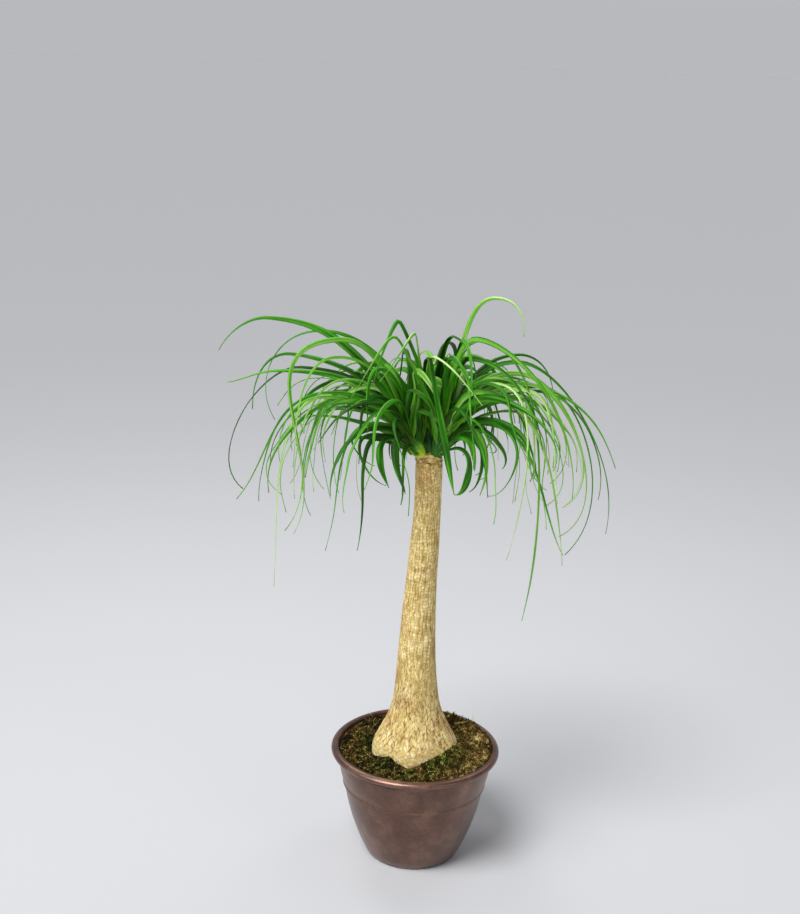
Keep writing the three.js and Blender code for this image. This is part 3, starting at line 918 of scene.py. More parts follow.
@dataclass
class MossTopping:
    """The moss over the potting mix: a clumpy blanket with thousands of short curled strands. Millimetres."""

    trunk: Trunk
    pot: Pot
    level: float = 186.0
    underside: float = 173.0
    inner_radius: float = 60.0
    sides: int = 260
    rings: int = 48
    strand_count: int = 5600
    fibre_count: int = 50
    clump: float = 9.0
    crumb: float = 5.4
    spill: float = 6.5
    rim_band: Pair = (16.0, 9.0)
    damp: Pair = (-60.0, 70.0)
    tuft: Point = (105.0, 27.0, 9.0)
    green_reach: Pair = (72.0, 112.0)
    strand_length: Pair = (2.6, 6.6)
    strand_width: Pair = (1.0, 2.3)
    fibre_length: Pair = (12.0, 30.0)
    fibre_width: float = 0.8
    fibre_tone: float = 0.68
    strand_bend: Pair = (0.6, 2.8)
    strand_thickness: float = 0.45
    heaps: tuple[Heap, ...] = (
        Heap(55, 104, 10, 16), Heap(70, -42, 9, 24), Heap(84, 6, 7, 24), Heap(-46, -70, 6.5, 17),
        Heap(108, 30, 7, 16), Heap(90, 76, 11, 20))
    bank: Stations = (
        (-150, 0), (-128, 5), (-112, 4), (-95, 0), (-78, 9), (-60, 13), (-35, 15), (-5, 11), (30, 3), (50, 0))
    bank_spread: float = 13.0

    def edge(self) -> float:
        """Gives the blanket's outer radius, just inside the pot's wall."""
        return self.pot.wall_radius(self.level) - self.pot.wall - 0.5

    def crumbs(self, x: float, y: float) -> float:
        """Gives every small crumb of moss a lightness of its own, from 0 to 1.

        Args:
            x: Millimetres right of the axis.
            y: Millimetres behind the axis.

        Returns:
            The lightness.
        """
        bent = Vector((x, y, 0)) / self.crumb + noise.noise_vector(Vector((x, y, 9)) / 5) * 0.5
        _, middles = noise.voronoi(bent)
        return shuffle(round(middles[0].x * 3 + middles[0].y * 5, 2), 6)

    def overhang(self, x: float, y: float) -> float:
        """Tells how far the moss spills on to the lip, 0 to 1: only at the right and the back right."""
        return smooth_step(0.2, 0.75, math.cos(math.atan2(y, x) - 0.4))

    def dryness(self, x: float, y: float) -> float:
        """Tells how pale the moss has dried: least at the damper left, most in one pale tuft at the right.

        Args:
            x: Millimetres right of the axis.
            y: Millimetres behind the axis.

        Returns:
            The amount that is added to the moss's tone.
        """
        tuft_x, tuft_y, tuft_spread = self.tuft
        tuft = math.exp(-((x - tuft_x) ** 2 + (y - tuft_y) ** 2) / tuft_spread ** 2)
        return 0.2 * smooth_step(*self.damp, x) - 0.1 + 0.65 * tuft

    def clumps(self, x: float, y: float) -> float:
        """Gives the small domed clumps as a height from 0, between clumps, to 1.

        Args:
            x: Millimetres right of the axis.
            y: Millimetres behind the axis.

        Returns:
            The height.
        """
        bent = Vector((x, y, 0)) / self.clump + noise.noise_vector(Vector((x, y, 4)) / 12) * 0.6
        gaps, _ = noise.voronoi(bent)
        return smooth_step(0.0, 0.75, gaps[1] - gaps[0]) * (0.55 + 0.45 * ripple(x / 5, y / 5, 6))

    def heap(self, x: float, y: float) -> float:
        """Gives the moss's height above its plain level.

        Args:
            x: Millimetres to the right.
            y: Millimetres towards the back.

        Returns:
            The extra height in millimetres.
        """
        banked = sum(heap.height * math.exp(-((x - heap.x) ** 2 + (y - heap.y) ** 2) / heap.spread ** 2)
                     for heap in self.heaps)
        turn, reach = math.atan2(y, x), math.hypot(x, y)
        away = max(0.0, reach - self.trunk.radius(self.level) * self.trunk.swell(turn, self.level))
        banked += through_stations(self.bank, math.degrees(turn)) * math.exp(-(away / self.bank_spread) ** 2)
        lumps = 2.4 * noise.fractal(Vector((x / 21, y / 21, 0.4)), 0.9, 2.1, 3)
        rim = smooth_step(self.edge() - self.rim_band[0], self.edge(), reach)
        return banked + lumps + 4.2 * self.clumps(x, y) - 1.5 + rim * (2.5 + 2.5 * self.overhang(x, y))

    def greenness(self, x: float, y: float) -> float:
        """Tells how green the moss is at a spot: greener close to the trunk, at the front and the left.

        Args:
            x: Millimetres right of the axis.
            y: Millimetres behind the axis.

        Returns:
            The share of green, from 0 to 0.8.
        """
        near = 1 - smooth_step(*self.green_reach, math.hypot(x, y))
        shaded = 1 - smooth_step(-30, 40, y + 0.5 * x)
        patch = 0.55 + 1.1 * ripple(x / 22, y / 22, 3.0)
        browner = 1 - 0.6 * smooth_step(20, 90, x)
        return min(0.8, max(0.0, (0.25 + 0.4 * near + 0.5 * shaded * near) * 1.35 * patch * browner))

    def blanket(self) -> bmesh.types.BMesh:
        """Makes the closed blanket: a section spun about the trunk, then lifted into heaps and clumps.

        Returns:
            The bmesh with its tone and green attributes.
        """
        edge, inner = self.edge(), self.inner_radius
        top = [(edge - (edge - inner) * i / self.rings, self.level) for i in range(self.rings + 1)]
        start = (inner, self.underside + 3)
        profile = [start, (95.0, self.underside + 1), (edge - 0.8, self.underside + 0.3),
                   (edge - 0.1, self.level - 5), *top, start]
        builder = spin_profile(profile, self.sides)
        tone, green = add_marks(builder, MOSS_MARKS)
        for vertex in builder.verts:
            x, y = vertex.co.x / MM, vertex.co.y / MM
            vertex[green] = self.greenness(x, y)
            vertex[tone] = 0.1
            if vertex.co.z > (self.level - 1) * MM:
                rough = noise.fractal(Vector((x / 4, y / 4, 1.7)), 0.6, 2.0, 3)
                crumb = self.crumbs(x, y)
                vertex.co.z += (self.heap(x, y) - 1.6 + rough + 1.2 * crumb) * MM
                # Painted shade: the tone rises with the clumps' and the rough's height, so the moss is darker
                # in the hollows between clumps.
                vertex[tone] = (0.2 * self.clumps(x, y) + 0.6 * crumb ** 1.8 + 0.1 * rough
                                + 0.8 * self.dryness(x, y))
        return builder

    def strand(self, builder: bmesh.types.BMesh, order: int, root: Vector, lean: Vector, length: float,
               width: float, curl: float, tone: float, green: float) -> None:
        """Adds one curled strand of moss as a narrow strip.

        Args:
            builder: The bmesh that holds the strands.
            order: The strand's number, for its turn about its own axis.
            root: Where it stands, in metres.
            lean: The direction that it starts in.
            length: Millimetres.
            width: Millimetres.
            curl: How far it bends over, in radians.
            tone: How light it is.
            green: How green it is.
        """
        made = bmesh.ops.create_grid(builder, x_segments=1, y_segments=3, size=1.0)
        tones, greens = (builder.verts.layers.float[name] for name in MOSS_MARKS)
        side = lean.orthogonal().normalized()
        side.rotate(Quaternion(lean, math.tau * shuffle(order, 21)))
        for vertex in made["verts"]:
            share = (vertex.co.y + 1) / 2
            turned = lean.copy()
            turned.rotate(Quaternion(side, curl * share / 2))
            half = width / 2 * (1 - 0.7 * share) * vertex.co.x
            vertex.co = root + turned * (length * share * MM) + side * (half * MM)
            vertex[tones] = tone * (0.5 + 0.8 * share)
            vertex[greens] = green

    def strands(self) -> bmesh.types.BMesh:
        """Makes the short moss strands and the longer pale fibres that lie over them.

        Returns:
            The bmesh with its tone and green attributes.
        """
        builder = bmesh.new()
        add_marks(builder, MOSS_MARKS)
        edge = self.edge() - 1
        for i in range(self.strand_count + self.fibre_count):
            fibre = i >= self.strand_count
            angle = math.tau * shuffle(i, 1)
            start = self.trunk.radius(self.level) * self.trunk.swell(angle, self.level) + 0.5
            outer = edge + self.spill * self.overhang(math.cos(angle), math.sin(angle))
            reach = math.sqrt(start ** 2 + (outer ** 2 - start ** 2) * shuffle(i, 2))
            x, y = reach * math.cos(angle), reach * math.sin(angle)
            dome, crumb = self.clumps(x, y), self.crumbs(x, y)
            height = max(self.level + self.heap(x, y) - 2.0, self.pot.lip_top(reach) + 0.6)
            up = 0.1 if fibre else 0.2 + 0.45 * shuffle(i, 5)
            near_edge = smooth_step(edge - self.rim_band[1], edge, reach)
            inward = Vector((-x, -y, 0)).normalized() * near_edge * 0.7
            lean = Vector((shuffle(i, 3) - 0.5, shuffle(i, 4) - 0.5, up)) + inward
            length = blend(*(self.fibre_length if fibre else self.strand_length), shuffle(i, 6))
            width = self.fibre_width if fibre else blend(*self.strand_width, shuffle(i, 7))
            # Painted shade: strands between the clumps come out darker, scaled by the clump height dome.
            tone = (0.03 + 0.8 * crumb ** 1.6) * (0.35 + 0.85 * dome) + 0.5 * shuffle(i, 8) ** 4
            tone = self.fibre_tone if fibre else tone + self.dryness(x, y)
            green = 0.1 if fibre else blend(0.0, 1.0, self.greenness(x, y) + 0.6 * (shuffle(i, 9) - 0.5))
            self.strand(builder, i, Vector((x, y, height)) * MM, lean.normalized(), length, width,
                        blend(*self.strand_bend, shuffle(i, 10)), tone, green)
        return builder

    def build(self) -> list[bpy.types.Object]:
        """Builds and dresses the blanket and its strands.

        Returns:
            Both pieces.
        """
        material = SheetMoss().build()
        blanket = finish_piece(self.blanket(), "moss_blanket", "moss_topping", material)
        strands = finish_piece(self.strands(), "moss_strands", "moss_topping", material)
        thicken = strands.modifiers.new("thickness", "SOLIDIFY")
        thicken.thickness = self.strand_thickness * MM
        thicken.offset = 0.0
        return [blanket, strands]


class Head(Enum):
    """The heads of leaves on the cut top."""

    LEFT = "left"
    RIGHT = "right"
    BACK = "back"


class Tone(Enum):
    """How light a leaf is, from a shaded old one to a pale young one."""

    DEEP = 0.1
    MID = 0.36
    FRESH = 0.6
    PALE = 0.82


@dataclass(frozen=True)
class HeadPlace:
    """Where a head's short club of leaf bases stands, in millimetres."""

    foot: Point
    centre: Point
    radius: float
    reach: float


@dataclass(frozen=True)
class Leaf:
    """One strap leaf, in millimetres and degrees: where it crests and ends, and how it bends between."""

    head: Head
    crest: Point
    tip: Point
    width: float
    tone: Tone
    curl: float
    bow: float
    level: float = 1.0
    hug: float = 0.7
    belly: float = 0.0


@dataclass(frozen=True)
class Growth:
    """A leaf's measures at one age, from which the filling leaves are drawn."""

    crest_rise: float
    crest_run: float
    tip_run: float
    tip_rise: float
    width: float
    curl: float = 0.0


Group = tuple[Head, int, float, float]

HEADS = {
    Head.LEFT: HeadPlace((-4, 0, 688), (-31, -5, 712), 17, 38),
    Head.RIGHT: HeadPlace((14, 1, 688), (29, -3, 714), 17, 40),
    Head.BACK: HeadPlace((5, 9, 688), (4, 30, 712), 16, 36),
}

L, R, B = Head.LEFT, Head.RIGHT, Head.BACK
DEEP, MID, FRESH, PALE = Tone.DEEP, Tone.MID, Tone.FRESH, Tone.PALE

# The leaves that show in front or against the background, in the same order as in the solids.
NOTED_LEAVES = (
    Leaf(L, (-250, -25, 910), (-320, -40, 860), 15, MID, 25, 0.42, 0.6),
    Leaf(B, (-170, -15, 890), (-235, -45, 755), 20, MID, -30, 0.5, 1.5),
    Leaf(L, (-140, -50, 885), (-200, -95, 590), 12, FRESH, 35, 0.4, 2.1),
    Leaf(L, (-220, 60, 835), (-285, 75, 740), 9, DEEP, 0, 0.25),
    Leaf(L, (-215, -10, 825), (-310, -20, 805), 13, MID, 80, 0.25),
    Leaf(L, (-165, 30, 805), (-240, 45, 755), 8, MID, 30, 0.3),
    Leaf(L, (-205, 40, 820), (-290, 10, 625), 9, DEEP, -55, 0.3, 0.85),
    Leaf(L, (-145, -60, 860), (-200, -110, 700), 10, FRESH, 5, 0.35),
    Leaf(L, (-165, -30, 790), (-225, -50, 690), 11, MID, -15, 0.3),
    Leaf(L, (-150, -20, 795), (-295, -40, 625), 9, MID, 40, 0.3),
    Leaf(L, (-165, 20, 780), (-265, 10, 605), 8, MID, 0, 0.3),
    Leaf(R, (-50, -10, 910), (-85, -60, 820), 13, MID, 15, 0.9, 0.2),
    Leaf(R, (-55, -40, 890), (-115, -90, 805), 11, MID, 35, 0.85, 0.3),
    Leaf(B, (-25, -30, 895), (-75, -80, 830), 12, FRESH, 60, 0.9, 0.3),
    Leaf(L, (-20, -60, 812), (15, -70, 770), 13, DEEP, 40, 0.1),
    Leaf(B, (0, -50, 860), (45, -110, 665), 17, DEEP, 50, 0.3, 0.2, belly=0.85),
    Leaf(B, (10, -60, 865), (80, -130, 810), 13, FRESH, 70, 0.5),
    Leaf(L, (-85, -60, 750), (-140, -120, 660), 17, DEEP, -8, 0.3),
    Leaf(L, (-75, -50, 735), (-100, -80, 560), 11, DEEP, 15, 0.35),
    Leaf(L, (-85, -30, 750), (-150, -60, 550), 12, MID, 15, 0.35),
    Leaf(L, (-60, -45, 730), (-55, -70, 660), 14, DEEP, -30, 0.4, 2, belly=0.68),
    Leaf(L, (-45, -60, 735), (-30, -80, 655), 16, DEEP, -45, 0.4, 2, belly=0.55),
    Leaf(L, (-30, -45, 720), (-35, -75, 635), 9, DEEP, 15, 0.4, belly=0.3),
    Leaf(L, (-95, -80, 795), (-160, -130, 745), 13, DEEP, 40, 0.3),
    Leaf(L, (-85, -60, 800), (-100, -115, 710), 12, DEEP, 5, 0.3),
    Leaf(L, (-125, 20, 780), (-190, 0, 650), 11, MID, 10, 0.3),
    Leaf(L, (-130, 40, 765), (-180, 10, 585), 9, MID, -30, 0.3),
    Leaf(L, (-120, 0, 795), (-195, -30, 625), 10, MID, 5, 0.3),
    Leaf(L, (-130, 50, 755), (-150, 20, 610), 9, MID, -15, 0.3, 1.6),
    Leaf(L, (-140, 60, 765), (-210, 60, 685), 9, DEEP, 20, 0.3),
    Leaf(L, (-155, 0, 785), (-235, -20, 470), 9, PALE, 0, 0.3),
    Leaf(L, (-85, -20, 730), (-60, -20, 650), 7, DEEP, -75, 0.4, 1.8),
    Leaf(R, (100, -10, 950), (140, -25, 895), 12, FRESH, -5, 0.35, 1.2, 0.8),
    Leaf(B, (35, 0, 885), (70, -60, 800), 18, DEEP, -20, 0.2),
    Leaf(R, (50, -20, 885), (55, -100, 775), 11, MID, -40, 0.3),
    Leaf(R, (80, -20, 885), (160, -60, 445), 13, MID, -10, 0.2, belly=0.86),
    Leaf(R, (70, -35, 890), (225, -75, 655), 13, MID, -5, 0.3, 0.7),
    Leaf(R, (140, 50, 850), (200, 60, 775), 8, DEEP, 0, 0.3),
    Leaf(R, (140, 20, 845), (290, 0, 575), 10, MID, -10, 0.3, 0.6),
    Leaf(R, (140, -15, 835), (215, -40, 630), 10, FRESH, -60, 0.3),
    Leaf(R, (115, 10, 815), (300, 0, 685), 10, MID, 22, 0.3),
    Leaf(R, (105, -60, 805), (190, -110, 710), 17, MID, -30, 0.3),
    Leaf(R, (85, -40, 810), (215, -70, 545), 14, FRESH, 5, 0.3),
    Leaf(R, (105, -40, 758), (95, -90, 660), 14, DEEP, -85, 0.35, 2.6),
    Leaf(R, (90, -20, 755), (220, -50, 555), 10, MID, 30, 0.35),
    Leaf(R, (110, -50, 825), (130, -85, 555), 9, PALE, -15, 0.3, 1.3),
    Leaf(R, (130, -30, 810), (165, -60, 680), 12, PALE, 0, 0.3),
    Leaf(R, (150, -40, 815), (205, -70, 645), 11, PALE, 10, 0.3),
    Leaf(R, (175, 30, 805), (230, 20, 530), 8, MID, -45, 0.3),
    Leaf(R, (155, 0, 815), (215, -20, 575), 9, FRESH, -60, 0.3),
    Leaf(R, (165, 20, 800), (275, 10, 630), 8, MID, -10, 0.3),
    Leaf(R, (55, -30, 715), (48, -45, 645), 15, DEEP, -80, 0.4, 2.4, belly=0.75),
    Leaf(R, (60, -40, 735), (75, -60, 690), 12, DEEP, 0, 0.4),
    Leaf(R, (70, -20, 745), (85, -40, 645), 10, MID, -25, 0.4),
    Leaf(R, (70, 10, 725), (70, -10, 640), 9, DEEP, -60, 0.4),
    Leaf(R, (90, 40, 770), (95, 50, 685), 8, DEEP, -25, 0.4),
    Leaf(L, (-110, 0, 720), (-80, 0, 675), 7, DEEP, -80, 0.35),
)


@dataclass
class LeafCrown:
    """The three heads of strap leaves on the cut top, grown as one. Millimetres."""

    trunk: Trunk
    golden_angle: float = 137.508
    front_from: float = -0.4
    fill: tuple[Group, ...] = ((L, 15, 95, 265), (R, 16, -85, 85), (B, 17, 0, 180))
    youngest: Growth = Growth(138, 45, 115, 55, 15)
    oldest: Growth = Growth(38, 95, 220, -70, 12)
    skirt: tuple[Group, ...] = ((R, 4, -20, 75), (B, 6, 20, 160))
    skirt_high: Growth = Growth(36, 42, 84, -26, 12, -35)
    skirt_low: Growth = Growth(14, 38, 50, -62, 10, -85)
    heart: tuple[Group, ...] = ((L, 4, -40, 80), (R, 4, 100, 200), (B, 6, 30, 150))
    heart_high: Growth = Growth(128, 22, 60, 84, 15)
    heart_low: Growth = Growth(52, 24, 52, 20, 16)
    thin: tuple[Group, ...] = ((L, 10, 130, 205), (R, 14, -25, 50), (B, 8, 30, 150))
    thin_high: Growth = Growth(125, 85, 185, -20, 5.5, 25)
    thin_low: Growth = Growth(55, 105, 190, -150, 4, -20)
    roll: float = 0.7
    across: int = 6
    along: int = 44
    thickness: float = 0.7
    heads_start: float = 700.0
    twist_range: Pair = (1.2, 2.4)
    wring_range: float = 3.2
    stray: Pair = (3.0, 13.0)
    dry_from: Pair = (0.91, 0.16)
    dry_over: float = 0.12

    def draw_leaf(self, head: Head, seed: int, age: float, heading: float, growths: tuple[Growth, Growth],
                  spread: float, tones: tuple[Tone, ...]) -> Leaf:
        """Draws one leaf of a head between two growths.

        Args:
            head: The head.
            seed: The leaf's own number.
            age: From 0, the first growth, to 1, the second.
            heading: Where it points, in radians from +X towards +Y.
            growths: Its measures when young and when old.
            spread: How far its measures may stray, 1 for the large leaves.
            tones: The tones to choose from.

        Returns:
            The leaf.
        """
        centre = Vector(HEADS[head].centre)
        young, old = growths

        def between(key: str, stray: float, trait: int) -> float:
            """Reads a measure at this leaf's age with its own small departure."""
            plain = getattr(young, key) + (getattr(old, key) - getattr(young, key)) * age
            return plain + stray * (shuffle(seed, trait) - 0.5)

        def place(run: float, rise: float, veer: float) -> Point:
            """Finds the point that lies out by a run and up by a rise from the head's centre."""
            out = Vector((math.cos(heading + veer), math.sin(heading + veer), 0)) * run
            return tuple(centre + out + UP * rise)

        veer = 0.5 * (shuffle(seed, 1) - 0.5)
        crest = place(between("crest_run", 40 * spread, 2), between("crest_rise", 36 * spread, 3), 0)
        tip = place(between("tip_run", 90 * spread, 4), between("tip_rise", 90 * spread, 5), veer)
        curl = between("curl", 50 if spread == 1.0 else 110, 6)
        tone = tones[int(len(tones) * shuffle(seed, 10))]
        return Leaf(head, crest, tip, between("width", 5 * min(1.0, spread), 7), tone, curl, 0.3)

    def fan(self, first_seed: int, groups: tuple[Group, ...], growths: tuple[Growth, Growth], spread: float,
            tones: tuple[Tone, ...], front_tones: tuple[Tone, ...] = ()) -> list[Leaf]:
        """Fans leaves round their heads by the golden angle, from the first growth to the second.

        Args:
            first_seed: The first group's first number.
            groups: Each head's count of leaves and the headings that they fan between, in degrees.
            growths: Their measures when young and when old.
            spread: How far their measures may stray, 1 for the large leaves.
            tones: The tones to choose from.
            front_tones: Others for the leaves that point to the front, where they differ.

        Returns:
            The leaves.
        """
        leaves = []
        for group, (head, count, first, last) in enumerate(groups):
            for i in range(count):
                heading = math.radians(first + (last - first) * ((i * self.golden_angle) % 360) / 360)
                chosen = front_tones if front_tones and math.sin(heading) < self.front_from else tones
                leaves.append(self.draw_leaf(head, first_seed + group * 100 + i, (i + 0.5) / count, heading,
                                             growths, spread, chosen))
        return leaves

    def leaves(self) -> list[Leaf]:
        """Gives all leaves: the solids' ones in their order, then those too fine or too short for the solids.

        Returns:
            The noted and the filling leaves, then a skirt of old leaves, young hearts and thin leaves.
        """
        return [*NOTED_LEAVES,
                *self.fan(0, self.fill, (self.youngest, self.oldest), 1.0, (DEEP, MID, MID, FRESH),
                          (DEEP, MID, MID)),
                *self.fan(1000, self.skirt, (self.skirt_high, self.skirt_low), 0.4, (DEEP, DEEP, DEEP, MID)),
                *self.fan(1500, self.heart, (self.heart_high, self.heart_low), 0.3, (DEEP, DEEP, FRESH)),
                *self.fan(2000, self.thin, (self.thin_high, self.thin_low), 0.7, (MID, FRESH, FRESH, PALE))]

    def root(self, leaf: Leaf) -> Vector:
        """Finds where a leaf leaves its club: tall leaves from its top, low ones from its side.

        Args:
            leaf: The leaf.

        Returns:
            The spot, in millimetres.
        """
        place = HEADS[leaf.head]
        height = min(1.0, max(0.0, (leaf.crest[2] - place.centre[2] - 20) / 180))
        start = Vector(place.foot).lerp(Vector(place.centre), 0.35 + 0.5 * min(1.0, 2.2 * height))
        outward = Vector((leaf.tip[0] - place.centre[0], leaf.tip[1] - place.centre[1], 0)).normalized()
        return start + outward * place.radius * (0.6 - 0.45 * height) + UP * place.reach * 0.7 * height

    def midrib(self, leaf: Leaf) -> tuple[list[Vector], Vector]:
        """Works out the leaf's midrib: a rise and a hanging stretch that meet, level, at the crest.

        Args:
            leaf: The leaf.

        Returns:
            Points evenly spaced from root to tip, and the leaf's level heading.
        """
        root, crest, tip = self.root(leaf), Vector(leaf.crest), Vector(leaf.tip)
        outward = Vector((tip.x - root.x, tip.y - root.y, 0)).normalized()
        run = math.hypot(crest.x - root.x, crest.y - root.y)
        bend = crest - outward * run * (1 - leaf.bow)
        rise = interpolate_bezier(root, root.lerp(bend, leaf.hug), crest.lerp(bend, leaf.hug), crest, 40)
        fall = (tip - crest).length
        fall_run = math.hypot(tip.x - crest.x, tip.y - crest.y)
        ahead = min(0.55 * fall, 0.35 * fall_run + 0.18 * fall) * leaf.level
        curl = math.radians(leaf.curl)
        last = outward * math.sin(curl) - UP * math.cos(curl)
        hang = interpolate_bezier(crest, crest + outward * ahead, tip - last * 0.4 * fall, tip, 60)
        return self.even([self.clear_of_trunk(p, leaf.width / 2) for p in rise + hang[1:]]), outward

    def clear_of_trunk(self, point: Vector, half_width: float) -> Vector:
        """Moves a midrib point out from the trunk where it hangs beside it.

        Args:
            point: The midrib's point, in millimetres.
            half_width: Half the blade's width there.

        Returns:
            The point, moved where it has to be.
        """
        if point.z > self.heads_start - 10:
            return point
        needed = self.trunk.radius(point.z) + half_width + 4
        middle = Vector((self.trunk.centre(point.z), 0, point.z))
        away = point - middle
        return point if away.length >= needed else middle + away.normalized() * needed

    def even(self, points: list[Vector]) -> list[Vector]:
        """Spaces points evenly along a line.

        Args:
            points: The line.

        Returns:
            One more point than the leaf has steps along it.
        """
        lengths = [0.0]
        for a, b in zip(points, points[1:]):
            lengths.append(lengths[-1] + (b - a).length)
        spaced, k = [], 0
        for i in range(self.along + 1):
            wanted = lengths[-1] * i / self.along
            while k < len(points) - 2 and lengths[k + 1] < wanted:
                k += 1
            share = (wanted - lengths[k]) / max(1e-9, lengths[k + 1] - lengths[k])
            spaced.append(points[k].lerp(points[k + 1], min(1.0, share)))
        return spaced

    def strap(self, builder: bmesh.types.BMesh, leaf: Leaf, order: int) -> None:
        """Adds one leaf: a channelled strap that clasps its head, twists as it goes and draws out to its tip.

        Args:
            builder: The head's bmesh.
            leaf: The leaf.
            order: Its number, which sets its roll, twist and small waves.
        """
        points, outward = self.midrib(leaf)
        steps = len(points) - 1
        roll = self.roll * outward.x + 0.5 * (shuffle(order, 9) - 0.5)
        length = (points[1] - points[0]).length * steps
        long = smooth_step(110, 300, length)
        kind = 0 if order < len(NOTED_LEAVES) else 1
        twist = self.twist_range[kind] * (shuffle(order, 8) - 0.5)
        wring = self.wring_range * (shuffle(order, 13) - 0.5) * long
        drift = self.stray[kind]
        sideways = Vector((-outward.y, outward.x, 0))
        stations = []
        for i, point in enumerate(points):
            s = i / steps
            ahead = (points[min(steps, i + 1)] - points[max(0, i - 1)]).normalized()
            side = (sideways - ahead * sideways.dot(ahead)).normalized()
            side.rotate(Quaternion(ahead, (roll + twist * s) * smooth_step(0.0, 0.15, s) + wring * s ** 2))
            stations.append((point, side, side.cross(ahead).normalized()))
        tones, alongs, acrosses, drieds = (builder.verts.layers.float[name] for name in LEAF_MARKS)
        tone = leaf.tone.value + 0.24 * (shuffle(order, 11) - 0.5)
        dry_from = self.dry_from[0] + self.dry_from[1] * shuffle(order, 12)
        clasp = 1 + 0.4 * min(1.0, 14 / leaf.width) * (leaf.width > 8)
        taper = 7.0 if leaf.belly else blend(3.6, 1.6 + 1.8 * shuffle(order, 14), long)
        narrowing = blend(0.5, 0.8, (leaf.width - 14) / 6 * smooth_step(300, 400, length)) * long
        crest_at = max(range(steps + 1), key=lambda i: points[i].z) / steps
        made = bmesh.ops.create_grid(builder, x_segments=self.across, y_segments=self.along, size=1.0)
        for vertex in made["verts"]:
            u, s = vertex.co.x, (vertex.co.y + 1) / 2
            point, side, face = stations[round(s * steps)]
            slim = clasp + (1 - clasp) * smooth_step(0.0, 0.12, s)
            slim *= 1 - narrowing * smooth_step(0.35 * crest_at, crest_at + 0.24, s)
            if leaf.belly:
                slim = 0.38 + 0.42 * math.exp(-((s - leaf.belly) / 0.2) ** 2)
            width = max(0.8, leaf.width * (1 - s ** taper) * slim)
            channel = width * (0.2 * (1 - smooth_step(0.0, 0.5, s)) + 0.27)
            wave = 0.35 * ripple(order * 3.7, s * 9, u)
            sway = drift * s * ripple(order * 5.3, s * 4, 0.5)
            dip = drift * s * ripple(order * 5.3, s * 4, 7.5)
            offset = -channel * (1 - abs(u) ** 1.1) + wave + dip
            vertex.co = (point + side * (u * width / 2 + sway) + face * offset) * MM
            # Painted sheen: the streak lightens and darkens the tone in long bands along the blade, in place
            # of sheen streaks.
            streak = 0.42 * ripple(order * 3.1, u * 1.8, s * 4.5)
            # Painted shade and light: the tone is darker along the middle of the blade where the channel
            # folds, darker at the root inside the heads, and lighter towards the tip where light falls on the
            # outer part.
            vertex[tones] = tone - 0.14 * (1 - abs(u)) ** 2 - 0.06 + 0.3 * s + streak
            vertex[alongs] = s
            vertex[acrosses] = u
            vertex[drieds] = smooth_step(dry_from, dry_from + self.dry_over, s)
        folds = {v for v in made["verts"] if abs(v[acrosses]) < 0.01}
        for edge in {e for v in folds for e in v.link_edges if e.other_vert(v) in folds}:
            edge.smooth = False

    def straps(self, head: Head, leaves: list[tuple[int, Leaf]],
               sides: list[bpy.types.Material]) -> bpy.types.Object:
        """Builds all leaves of one head as one piece.

        Args:
            head: The head.
            leaves: Its leaves with their numbers.
            sides: The upper and the lower side's materials.

        Returns:
            The piece.
        """
        builder = bmesh.new()
        add_marks(builder, LEAF_MARKS)
        for order, leaf in leaves:
            self.strap(builder, leaf, order)
        piece = finish_piece(builder, f"{head.value}_head_leaves", "leaf_crown", *sides)
        thicken = piece.modifiers.new("thickness", "SOLIDIFY")
        thicken.thickness = self.thickness * MM
        thicken.offset = -1.0
        thicken.material_offset = 1
        return piece

    def club(self, head: Head, material: bpy.types.Material) -> bpy.types.Object:
        """Builds a head's club of clasped leaf bases.

        Args:
            head: The head.
            material: The sheaths' material.

        Returns:
            The piece.
        """
        place = HEADS[head]
        radius, reach = place.radius * (0.68 if head is Head.BACK else 0.84), place.reach
        outline = [(0, -3), (radius * 0.45, -2), (radius * 0.66, 10), (radius * 0.92, 24),
                   (radius * 0.8, 26 + reach * 0.5), (radius * 0.4, 26 + reach), (0, 30 + reach)]
        profile = []
        for (r0, z0), (r1, z1) in zip(outline, outline[1:]):
            profile += [(r0 + (r1 - r0) * i / 6, z0 + (z1 - z0) * i / 6) for i in range(6)]
        builder = spin_profile(profile + [outline[-1]], 72)
        along = builder.verts.layers.float.new("along")
        lean = (Vector(place.centre) - Vector(place.foot)).normalized().lerp(UP, 0.35).normalized()
        for vertex in builder.verts:
            angle = math.atan2(vertex.co.y, vertex.co.x)
            height = vertex.co.z / MM
            fold = abs(math.sin(3 * angle + height / 8)) ** 0.5
            squeeze = 0.8 + 0.2 * fold
            vertex.co.x *= squeeze
            vertex.co.y *= squeeze
            # Painted shade: the right and back clubs start 0.45 further up the sheath ramp, so they come out
            # dark green as the shaded hollow between the heads.
            vertex[along] = height / (30 + reach) + (0.0 if head is Head.LEFT else 0.45)
        turn = UP.rotation_difference(lean).to_matrix().to_4x4()
        stand = Matrix.Translation(Vector(place.foot) * MM) @ turn
        bmesh.ops.transform(builder, matrix=stand, verts=builder.verts)
        return finish_piece(builder, f"{head.value}_head_base", "leaf_crown", material)

    def callus(self, material: bpy.types.Material) -> bpy.types.Object:
        """Builds the rough corky saddle between the heads, over the trunk's cut.

        Args:
            material: The bark's material.

        Returns:
            The finished piece.
        """
        builder = bmesh.new()
        relief, plate = add_marks(builder, BARK_MARKS)
        bmesh.ops.create_icosphere(builder, subdivisions=5, radius=1.0)
        for vertex in builder.verts:
            lump = noise.fractal(vertex.co * 3.4, 0.7, 2.0, 4)
            vertex[relief] = min(1.0, max(0.0, 0.5 + 0.6 * lump))
            vertex[plate] = 0.3
            x, y, z = vertex.co * (1 + 0.13 * lump)
            vertex.co = Vector((x * 21.0 + 5, y * 20.0 + 1.0, z * 10 + 687)) * MM
        return finish_piece(builder, "callus", "leaf_crown", material)

